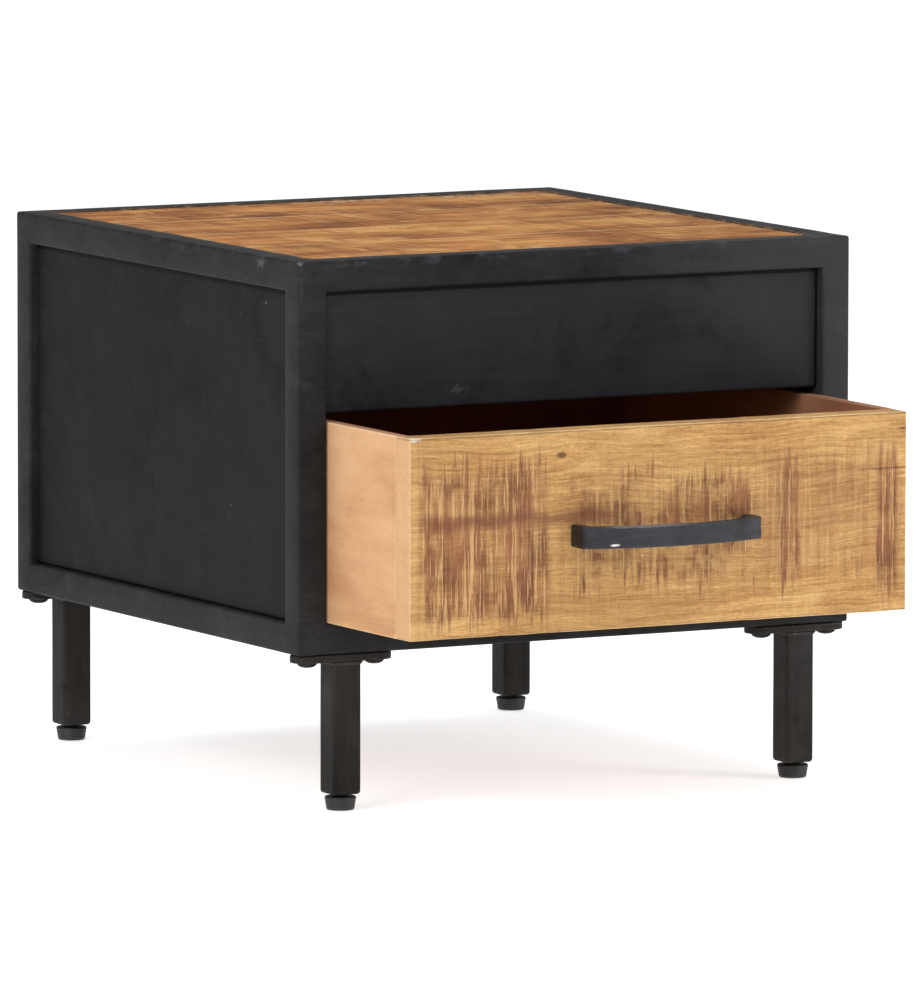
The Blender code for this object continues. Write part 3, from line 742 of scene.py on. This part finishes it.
HANDLE_CHIP_AND_PAINTED_LIGHT = marks_from(
    (0, HANDLE_LOW.y, HANDLE_LOW.z),
    ((-0.0455, 0.006, 0.0024), (0.0034, 0.010, 0.0009), (226, 224, 220), 0.95, 1.6),
    # a pale line along the top edge: painted highlight
    ((-0.026, 0.003, 0.0140), (0.040, 0.012, 0.0013), (128, 128, 130), 0.6, 1.2),
    # a dark patch on the left end: painted shade
    ((HANDLE_LOW.x, 0.02, 0.007), (0.004, 0.014, 0.012), (24, 21, 18), 0.75, 1.0),
)
FRAME_IRON = iron(
    "frame_iron", (29, 29, 32), (54, 53, 52), (60, 60, 320), 0.48, 0.06, marks=CORNER_SCUFFS_AND_SHEEN, rim=RIM,
)
PANEL_IRON = iron(
    "panel_iron", (22, 22, 23), (36, 36, 36), (60, 30, 14), 0.50, 0.05,
    wear=0.3, seam_shade=(*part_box("side_panel_left"), 0.0),
)
FASCIA_IRON = iron(
    "fascia_iron", (37, 37, 40), (52, 52, 55), (10, 40, 260), 0.48, 0.08,
    wear=0.5, marks=FASCIA_SMUDGE_AND_SHEEN, seam_shade=(Vector((0, 0, 0)), FASCIA_HIGH, 1.0),
)
LEG_IRON = iron("leg_iron", (36, 34, 32), (58, 55, 52), (300, 300, 16), 0.48, 0.05)
HANDLE_IRON = iron(
    "handle_iron", (40, 41, 44), (68, 69, 73), (60, 300, 300), 0.40, 0.18, wear=1.3, marks=HANDLE_CHIP_AND_PAINTED_LIGHT,
)
BLACK_PLASTIC = plastic("black_plastic")
BLACK_SCREWS = steel("black_screws", (40, 39, 38), 0.38)
INNER_STEEL = steel("inner_steel", (110, 108, 104), 0.40)
TOP_WOOD = top_wood()
FRONT_WOOD = front_wood(*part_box("drawer_front"))
PEACH = ((224, 178, 134), (214, 165, 120), (194, 142, 98))
STAINED_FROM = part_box("drawer_side_right")[1].x - 0.001
DRAWER_SIDE_WOOD = plain_wood("drawer_wood", "yzx", *PEACH, stained_from=STAINED_FROM)
DRAWER_BACK_WOOD = plain_wood("drawer_back_wood", "xzy", (140, 88, 62), (124, 74, 50), (104, 58, 38))
BOTTOM_WOOD = plain_wood("drawer_bottom_wood", "xyz", (150, 98, 66), (128, 80, 52), (100, 58, 38))
GUIDE_WOOD = plain_wood("guide_wood", "yzx", (206, 160, 108), (184, 138, 90), (150, 106, 66))


# ---------------------------------------------------------------- boards

def board(name, node, body, material, slot, radius, steps, number=0.0, shape=None, **values):
    """A detailed board in the place of a CAD board. It stores its number and where its edges are."""
    low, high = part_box(node)
    mesh = board_mesh(name, low, high, radius, steps, shape)
    points = coordinates(mesh)
    reach = np.sort(np.minimum(points - np.array(low), np.array(high) - points), axis=1)
    store(mesh, "edge", np.clip(1 - reach[:, 1] / 0.0035, 0, 1))
    store(mesh, "board", np.full(len(points), number))
    for key, value in values.items():
        store(mesh, key, value(points) if callable(value) else np.full(len(points), value))
    return piece(name, mesh, body, material, slot, node)


def planks():
    """The four planks of the top, a little uneven, with saw marks across them."""
    tones = (0.15, 0.0, 0.35, 0.25)
    greys = (0.10, 0.05, 0.20, 0.75)
    for place in range(4):
        node = f"top_plank_{place + 1}"
        low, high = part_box(node)

        def shape(points, normals, place=place):
            moved = points.copy()
            along = points[:, 0]
            sway = value_noise(points * (28, 0, 0) + (0, place * 7.0, 0), 3)
            moved[:, 1] += normals[:, 1] * (0.00022 * sway - 0.00025)
            chipped = value_noise(points * (0, 45, 0) + (place * 5.0, 0, 0), 5)
            moved[:, 0] += normals[:, 0] * (0.0006 * chipped - 0.0006)
            up = np.clip(normals[:, 2], 0, 1)
            saw = value_noise(np.stack([along * 420, points[:, 1] * 9 + place * 3, along * 0], 1), 11)
            gate = np.clip(value_noise(points * (9, 14, 0) + (0, 0, place * 4.0), 13) * 1.6 + 0.4, 0, 1)
            broad = value_noise(points * (11, 26, 0) + (0, 0, place * 9.0), 17)
            sunk = 0.00025 + 0.00015 * (place % 2)
            moved[:, 2] += up * (0.00009 * saw * gate + 0.00018 * broad - sunk)
            return moved

        def gap(points, low=low, high=high):
            near = np.minimum(points[:, 1] - low.y, high.y - points[:, 1])
            return np.clip(1 - near / 0.0011, 0, 1)

        def rim(points):
            flat = points[:, :2]
            near = np.minimum(flat - np.array(RIM[0].xy), np.array(RIM[1].xy) - flat).min(axis=1)
            return np.clip(1 - near / 0.012, 0, 1)

        def joint(points, low=low, high=high, place=place):
            front = (points[:, 1] - low.y) if place > 0 else np.full(len(points), 1.0)
            back = (high.y - points[:, 1]) if place < 3 else np.full(len(points), 1.0)
            return np.clip(1 - np.minimum(front, back) / 0.006, 0, 1)

        board(
            f"plank_{place + 1}", node, "case", TOP_WOOD, "top_wood",
            0.0011, (0.0012, 0.0018, 0.006), 0.37 * place + 0.11, shape,
            tone=tones[place], grey=greys[place], gap=gap, rim=rim, joint=joint,
        )


def drawer_boards():
    """The drawer's boards and stop blocks, and the guide strips it runs between."""
    def rough_sawn(points, normals):
        moved = points.copy()
        face = np.clip(-normals[:, 1], 0, 1)
        saw = value_noise(np.stack([points[:, 0] * 380, points[:, 2] * 8, points[:, 0] * 0], 1), 21)
        gate = np.clip(value_noise(points * (16, 0, 20), 23) * 1.5 + 0.5, 0.1, 1)
        grain = value_noise(points * (18, 0, 260), 25)
        broad = value_noise(points * (13, 0, 24), 27)
        moved[:, 1] += face * (0.00020 - 0.00012 * saw * gate - 0.00006 * grain - 0.00012 * broad)
        top = np.abs(normals[:, 2]) * value_noise(points * (70, 0, 0), 29)
        moved[:, 2] -= np.sign(normals[:, 2]) * 0.00018 * (1 + top)
        return moved

    def drawer_board(name, node, material, slot, radius, steps, number, shape=None):
        board(name, node, "drawer", material, slot, radius, steps, number, shape)

    fine, even, long = (0.0009, 0.004, 0.0016), (0.003, 0.003, 0.003), (0.004, 0.003, 0.003)
    drawer_board("drawer_front_board", "drawer_front", FRONT_WOOD, "front_wood",
                 0.0007, fine, 0.2, rough_sawn)
    for place, side in enumerate(SIDES):
        shift = place * 0.3
        for name, node, radius, steps, number in (
            ("drawer_side_board", "drawer_side", 0.0004, long, 0.5 + shift),
            ("drawer_stop_block", "drawer_stop", 0.0007, even, 0.3 + shift),
        ):
            name, node = f"{name}_{side}", f"{node}_{side}"
            drawer_board(name, node, DRAWER_SIDE_WOOD, "drawer_wood", radius, steps, number)
        board(f"guide_strip_{side}", f"drawer_guide_{side}", "case", GUIDE_WOOD, "guide_wood",
              0.0008, (0.004, 0.006, 0.004), 0.1 + place * 0.4)
    drawer_board("drawer_back_board", "drawer_back", DRAWER_BACK_WOOD, "drawer_wood",
                 0.0009, (0.003, 0.004, 0.003), 0.9)
    drawer_board("drawer_bottom_board", "drawer_bottom", BOTTOM_WOOD, "drawer_bottom_wood",
                 0.0006, (0.005, 0.005, 0.003), 0.7)


# -------------------------------------------------------------- iron work

def sheets():
    """The side, back and front sheets, very slightly wavy."""
    for name, node, axis in (
        ("side_sheet_left", "side_panel_left", 0),
        ("side_sheet_right", "side_panel_right", 0),
        ("back_sheet", "back_panel", 1),
    ):
        def shape(points, normals, axis=axis, seed=len(name)):
            moved = points.copy()
            moved[:, axis] += 0.00022 * value_noise(points * 9 + seed, 31)
            return moved

        board(name, node, "case", PANEL_IRON, "panel_iron", 0.0005, (0.008, 0.008, 0.008), shape=shape)
    fascia()


def fascia():
    """The sheet above the drawer, folded back along its bottom edge."""
    low, high = FASCIA_LOW, FASCIA_HIGH
    thick = 0.0015
    bend = 0.0022
    outline = [(low.y, high.z), (low.y, low.z + bend)]
    for step in range(1, 7):
        angle = math.radians(180 + 90 * step / 6)
        outline.append((low.y + bend + bend * math.cos(angle), low.z + bend + bend * math.sin(angle)))
    outline.append((high.y, low.z))
    outline.append((high.y, low.z + thick))
    inner = bend - thick
    for step in range(7):
        angle = math.radians(270 - 90 * step / 6)
        outline.append((low.y + bend + inner * math.cos(angle), low.z + bend + inner * math.sin(angle)))
    outline.append((low.y + thick, high.z))
    count = 46
    points = []
    faces = []
    size = len(outline)
    for column in range(count + 1):
        x = low.x + (high.x - low.x) * column / count
        for y, z in outline:
            sway = 0.00018 * value_noise(np.array([[x * 8, 0, z * 9]]), 41)[0]
            points.append((x, y + sway, z))
    for column in range(count):
        for k in range(size):
            after = (k + 1) % size
            first, second = column * size, (column + 1) * size
            faces.append((first + k, first + after, second + after, second + k))
    faces.append(tuple(range(size - 1, -1, -1)))
    faces.append(tuple(count * size + k for k in range(size)))
    mesh = new_mesh("fascia_sheet", points, faces)
    outward(mesh)
    mesh.set_sharp_from_angle(angle=math.radians(35))
    piece("fascia_sheet", mesh, "case", FASCIA_IRON, "fascia_iron", "front_fascia")


def welded_frame():
    """The case's frame as one welded and ground piece."""
    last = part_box("corner_post_back_right")[1]
    start = (FRAME_LOW.x, FRAME_LOW.y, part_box("bottom_rail_front")[0].z)
    stop = (last.x, last.y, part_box("top_rail_back")[1].z)
    cuts = [(start[a], start[a] + TUBE, stop[a] - TUBE, stop[a]) for a in range(3)]

    def solid(cell):
        return all(0 <= c <= 2 for c in cell) and sum(c != 1 for c in cell) >= 2

    quads = []
    for cell in filter(solid, itertools.product(range(3), repeat=3)):
        for axis in range(3):
            for far in (0, 1):
                beside = list(cell)
                beside[axis] += 2 * far - 1
                if not solid(beside):
                    quads.append(side_of(cell, axis, far))
    mesh = new_mesh("welded_frame", *on_grid(cuts, quads))
    outward(mesh)
    mesh = finer(rounded(mesh, 0.0019, 4, 40), 0.012)
    names = [f"corner_post_{corner}" for corner in CORNERS]
    for side in ("front", "right", "back", "left"):
        names += [f"top_rail_{side}", f"bottom_rail_{side}"]
    centre = (np.array(start) + np.array(stop)) / 2

    def uneven(points):
        """A little sway all along, and grinding marks near the corners."""
        near_corner = np.ones(len(points))
        for a in range(3):
            inward = np.abs(stop[a] - centre[a]) - np.abs(points[:, a] - centre[a])
            near_corner *= np.clip(1 - inward / 0.055, 0, 1)
        ground = value_noise(points * 55, 43) * 0.00022 * near_corner
        sway = value_noise(points * 14, 47) * 0.00010
        return ground + sway - 0.0001

    push_out(mesh, uneven)
    piece("welded_frame", mesh, "case", FRAME_IRON, "frame_iron", *names)


def legs():
    """Each leg: a square tube, the plate it is welded to, and the plate's two screws."""
    for corner in CORNERS:
        low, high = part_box(f"leg_tube_{corner}")
        middle = (low + high) / 2

        def shape(points, normals, seed=hash_of(corner)):
            moved = points.copy()
            moved += normals * (value_noise(points * 30 + seed, 51) * 0.00008)[:, None]
            return moved

        mesh = board_mesh(f"leg_{corner}", low, high, 0.0024, (0.004, 0.004, 0.006), shape)
        piece(f"leg_{corner}", mesh, "case", LEG_IRON, "leg_iron", f"leg_tube_{corner}")
        weld(corner, middle, high.z)
        plate(corner)
        for side in SIDES:
            screw(f"plate_screw_{corner}_{side}", f"leg_screw_{corner}_{side}")


def hash_of(text):
    """A small number from a name."""
    return sum(ord(letter) * (k + 3) for k, letter in enumerate(text)) % 97


def weld(corner, middle, level):
    """The bead that joins a leg to its plate."""
    half = TUBE / 2
    bead = 0.0022
    around = 160
    across = 6
    squareness = 10
    points = []
    for k in range(around):
        t = 4 * k / around
        side, part = int(t), (t - int(t)) * 2 - 1
        radial = np.array([(part, -1), (1, part), (-part, 1), (-1, -part)][side], float)
        radial /= (abs(radial[0]) ** squareness + abs(radial[1]) ** squareness) ** (1 / squareness)
        uneven = value_noise(np.array([[k * 0.35, hash_of(corner), 0]]), 53)[0]
        size = bead * (1 + 0.22 * math.sin(k * 2 * math.pi / 8) + 0.18 * float(uneven))
        for m in range(across + 1):
            angle = math.radians(90 * m / across)
            out = half - 0.0002 + size * (1 - math.sin(angle))
            drop = level - size * 1.3 * (1 - math.cos(angle))
            sideways = max(-half + 0.00005, min(half - 0.00005, radial[1] * out))
            points.append((middle.x + radial[0] * out, middle.y + sideways, drop))
        x, y = radial * (half - 0.0008)
        points.append((middle.x + x, middle.y + y, level))
    row = across + 2
    faces = []
    for k in range(around):
        after = (k + 1) % around
        for m in range(row):
            n = (m + 1) % row
            faces.append((k * row + m, after * row + m, after * row + n, k * row + n))
    mesh = new_mesh(f"weld_{corner}", points, faces)
    outward(mesh)
    piece(f"weld_{corner}", mesh, "case", LEG_IRON, "leg_iron")


def plate(corner):
    """The round-ended plate that holds a leg under the frame."""
    node = f"leg_plate_{corner}"
    low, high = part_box(node)
    middle = (low + high) / 2
    radius = (high.y - low.y) / 2
    end = (high.x - low.x) / 2 - radius
    outline = []
    for centre, start in ((end, -90), (-end, 90)):
        for k in range(25):
            angle = math.radians(start + 180 * k / 24)
            x, y = centre + radius * math.cos(angle), radius * math.sin(angle)
            outline.append((middle.x + x, middle.y + y))
    mesh = rounded(extruded(f"foot_plate_{corner}", outline, low.z, high.z), 0.0007, 3, 50)
    mesh.set_sharp_from_angle(angle=math.radians(60))
    piece(f"mounting_plate_{corner}", mesh, "case", LEG_IRON, "leg_iron", node)


def dome(radius, rise, steps, power):
    """(radius, height) points of a rounded head, from its rim's level at 0 up to its crown at rise."""
    points = []
    for k in range(1, steps + 1):
        r = radius * k / steps
        points.append((r, rise * math.sqrt(max(0.0, 1 - (r / radius) ** power))))
    return [(0.0, rise)] + points


def recess(points, reach, width, depth, sign):
    """Presses a cross into the crown of a head."""
    radial = np.hypot(points[:, 0], points[:, 1])
    arm = np.abs(points[:, :2]).min(axis=1)
    inside = np.clip((width - arm) / (width * 0.35), 0, 1)
    inside *= np.clip((reach - radial) / (reach * 0.12), 0, 1)
    moved = points.copy()
    moved[:, 2] += sign * depth * inside * (1 - 0.35 * radial / reach)
    return moved


def screw(name, node):
    """A dome-headed screw whose head points down, with a cross recess."""
    low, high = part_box(node)
    middle = (low + high) / 2
    head = 0.0065
    rise = 0.0032
    stem = 0.0024
    end = high.z - low.z - rise
    profile = [(r, -level) for r, level in dome(head, rise, 30, 2.2)]
    profile += [(head, 0.0), (stem, 0.0), (stem, end - 0.0004), (0.0, end)]

    def crossed(points):
        return np.where(points[:, 2:3] < -0.0005, recess(points, 0.0034, 0.0008, 0.0016, 1), points)

    mesh = revolved(name, profile, 72, (middle.x, middle.y, low.z + rise), 50, crossed)
    piece(name, mesh, "case", BLACK_SCREWS, "black_screws", node)


def feet():
    """Levelling feet: a tapered pad with a ribbed edge and a raised neck on a stud."""
    # (radius, height) from the middle of the sole out to the pad's side
    profile = [
        (0.0, 0.0008), (0.0052, 0.0008), (0.0056, 0.0001), (0.0060, 0.0),
        (0.0084, 0.0), (0.0088, 0.0003), (0.0090, 0.0009),
    ]
    for ridge in range(4):
        base = 0.0014 + ridge * 0.00165
        wide = 0.0090 + ridge * 0.00027
        profile += [
            (wide, base), (wide + 0.00022, base + 0.0004),
            (wide + 0.00026, base + 0.0011), (wide + 0.00006, base + 0.0014),
        ]
    # over the shoulder and up the neck
    profile += [
        (0.0100, 0.0078), (0.0099, 0.0081), (0.0096, 0.0084), (0.0091, 0.0085), (0.0060, 0.0085),
        (0.0052, 0.0086), (0.0049, 0.0089), (0.0048, 0.0093), (0.0044, 0.0094),
    ]
    pitch = 0.00125
    core, crest = 0.0036, 0.0040
    z = 0.0094
    while z < 0.0325:
        profile += [(core, z), (crest, z + pitch * 0.4), (crest, z + pitch * 0.55)]
        z += pitch
    profile += [(core, 0.0334), (0.0030, 0.034), (0.0, 0.034)]

    def ribs(points):
        """Fine upright ribs round the side of the pad."""
        moved = points.copy()
        radial = np.hypot(points[:, 0], points[:, 1])
        side = (radial > 0.0088) & (points[:, 2] < 0.0078) & (points[:, 2] > 0.0010)
        angle = np.arctan2(points[:, 1], points[:, 0])
        press = 1 - 0.006 * (0.5 + 0.5 * np.cos(angle * 24)) * side
        moved[:, 0] *= press
        moved[:, 1] *= press
        return moved

    for corner in CORNERS:
        node = f"levelling_foot_{corner}"
        low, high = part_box(node)
        middle = (low + high) / 2
        mesh = revolved(f"foot_{corner}", profile, 96, (middle.x, middle.y, low.z), 60, ribs)
        piece(f"foot_{corner}", mesh, f"foot_{corner}", BLACK_PLASTIC, "black_plastic", node)


def handle():
    """The bowed handle, forged from flat bar, with its ends turned back to the wood."""
    node = "drawer_handle"
    low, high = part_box(node)
    half = (high.x - low.x) / 2
    reach = high.y - low.y
    end_reach = 0.015
    strap = 0.005
    leg = 0.0085
    bend = 0.0042
    sagitta = reach - end_reach
    radius = (half * half + sagitta * sagitta) / (2 * sagitta)
    centre = radius - reach

    def bow(x, r):
        return centre - math.sqrt(r * r - x * x)

    outer = []
    steps = 60
    for k in range(steps + 1):
        x = (half - bend) * (2 * k / steps - 1)
        outer.append((x, bow(x, radius)))
    shoulder = bow(half - bend, radius)
    corner = []
    slope = math.atan2(half - bend, math.sqrt(radius * radius - (half - bend) ** 2))
    start_angle = slope - math.pi / 2
    for k in range(1, 9):
        angle = start_angle * (1 - k / 8)
        cx = half - bend - bend * math.cos(start_angle)
        cy = shoulder - bend * math.sin(start_angle)
        corner.append((cx + bend * math.cos(angle), cy + bend * math.sin(angle)))
    reach_x = corner[-1][0]
    grow = half / reach_x
    right = corner + [(reach_x, 0.0), (half - leg, 0.0)]
    inner = []
    inner_half = half - leg
    fillet = 0.003
    inner_radius = radius - strap
    for k in range(steps + 1):
        x = (inner_half - fillet) * (1 - 2 * k / steps)
        inner.append((x, bow(x, inner_radius)))
    side_y = inner[0][1]
    right_fillet = []
    for k in range(1, 6):
        turn = math.pi / 2 * k / 6
        x, y = inner_half - fillet * (1 - math.sin(turn)), side_y + fillet * (1 - math.cos(turn))
        right_fillet.append((x, y))
    outline = outer + right + right_fillet[::-1] + inner
    outline += [(-x, y) for x, y in right_fillet] + [(-x, y) for x, y in reversed(right)]
    cleaned = []
    for x, y in outline:
        if not cleaned or math.hypot(x - cleaned[-1][0], y - cleaned[-1][1]) > 1e-5:
            cleaned.append((x * grow, y))
    flat = extruded("bow_handle", [(x, high.y + y) for x, y in cleaned], low.z, high.z)
    mesh = finer(rounded(flat, 0.0012, 4, 50, triangles=True), 0.0016)

    def forged(points):
        """Hammer marks, which fade out where the ends meet the wood."""
        broad = value_noise(points * (110, 110, 170), 61) * 0.00020
        fine = value_noise(points * 420, 63) * 0.00006
        clear = np.clip((high.y - points[:, 1]) / 0.001, 0, 1)
        return (broad + fine - 0.0002) * clear

    push_out(mesh, forged)
    piece("bow_handle", mesh, "drawer", HANDLE_IRON, "handle_iron", node)
    for side in SIDES:
        handle_screw(side)


def handle_screw(side):
    """The screw inside the drawer front that holds one end of the handle."""
    node = f"handle_screw_{side}"
    low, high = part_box(node)
    middle = (low + high) / 2
    head = 0.0040
    rise = 0.0022
    stem = 0.0020
    end = rise - (high.y - low.y)
    profile = dome(head, rise, 20, 2) + [(stem, 0.0), (stem, end + 0.0008), (0.0, end)]

    def crossed(points):
        return np.where(points[:, 2:3] > 0.0004, recess(points, 0.0024, 0.0006, 0.0012, -1), points)

    mesh = revolved(f"handle_fixing_{side}", profile, 48, (0, 0, 0), 50, crossed)
    mesh.transform(Matrix.Rotation(math.radians(-90), 4, "X"))
    mesh.transform(Matrix.Translation((middle.x, high.y - rise, middle.z)))
    piece(f"handle_fixing_{side}", mesh, "drawer", INNER_STEEL, "inner_steel", node)


def carried_over():
    """Better materials on the CAD nodes that stay."""
    for side in SIDES:
        for node in (f"top_support_{side}", f"drawer_runner_{side}"):
            nodes[node].data.materials.clear()
            nodes[node].data.materials.append(INNER_STEEL)
    for corner in CORNERS:
        nodes[f"foot_plug_{corner}"].data.materials.clear()
        nodes[f"foot_plug_{corner}"].data.materials.append(BLACK_PLASTIC)


# ------------------------------------------------------------------ the studio

def studio():
    """A pale floor and world, with a large soft light at the left, one at the front and one above."""
    g = Graph("floor_white")
    grain = g.noise(3, 3, 0.5)
    colour = g.ramp(grain, (0.3, (0.86, 0.86, 0.86, 1)), (0.7, (0.88, 0.88, 0.88, 1)))
    glow = {"Emission_Color": (1, 1, 1, 1), "Emission_Strength": 0.66}
    floor_material = g.finish(colour, 0.9, Specular_IOR_Level=0.0, **glow)
    mesh = bpy.data.meshes.new("floor")
    size = 40
    corners = [(-size, -size, 0), (size, -size, 0), (size, size, 0), (-size, size, 0)]
    mesh.from_pydata(corners, [], [(0, 1, 2, 3)])
    mesh.materials.append(floor_material)
    floor = bpy.data.objects.new("floor", mesh)
    floor.location.z = -0.0005
    scene.collection.objects.link(floor)
    world = bpy.data.worlds.new("studio")
    world.use_nodes = True
    background = world.node_tree.nodes["Background"]
    background.inputs["Color"].default_value = (1, 1, 1, 1)
    background.inputs["Strength"].default_value = 0.40
    scene.world = world
    scene.view_settings.view_transform = "Standard"
    for name, place, aim, size, power in (
        ("key", (-2.6, -1.3, 2.0), (0, 0, 0.2), 1.8, 42),
        ("front", (1.45, -1.40, 0.90), (0.15, -0.1, 0.25), 0.8, 12),
        ("above", (0.2, 0.6, 3.0), (0, 0, 0.2), 2.2, 27.5),
    ):
        data = bpy.data.lights.new(name, "AREA")
        data.size = size
        data.energy = power
        light = bpy.data.objects.new(name, data)
        light.visible_camera = False
        light.location = place
        light.rotation_euler = (Vector(aim) - Vector(place)).to_track_quat("-Z", "Y").to_euler()
        scene.collection.objects.link(light)


def camera():
    """A long lens, a little above the table and to the left of its front."""
    yaw, pitch, roll = math.radians(28.372), math.radians(6.493), math.radians(0.105)
    distance = 8.2336
    target = Vector((0.01886, 0.05822, 0.16920))
    back = Vector((-math.sin(yaw) * math.cos(pitch), -math.cos(yaw) * math.cos(pitch), math.sin(pitch)))
    right = Vector((0, 0, 1)).cross(back).normalized()
    up = back.cross(right)
    across = right * math.cos(roll) + up * math.sin(roll)
    upward = up * math.cos(roll) - right * math.sin(roll)
    data = bpy.data.cameras.new("camera")
    data.lens = 455.36
    data.sensor_width = 36
    data.clip_start = 0.1
    data.clip_end = 200
    made = bpy.data.objects.new("camera", data)
    turn = Matrix((across, upward, back)).transposed()
    made.matrix_world = Matrix.Translation(target + back * distance) @ turn.to_4x4()
    scene.collection.objects.link(made)
    scene.camera = made


camera()
studio()
welded_frame()
sheets()
planks()
drawer_boards()
handle()
legs()
feet()
carried_over()
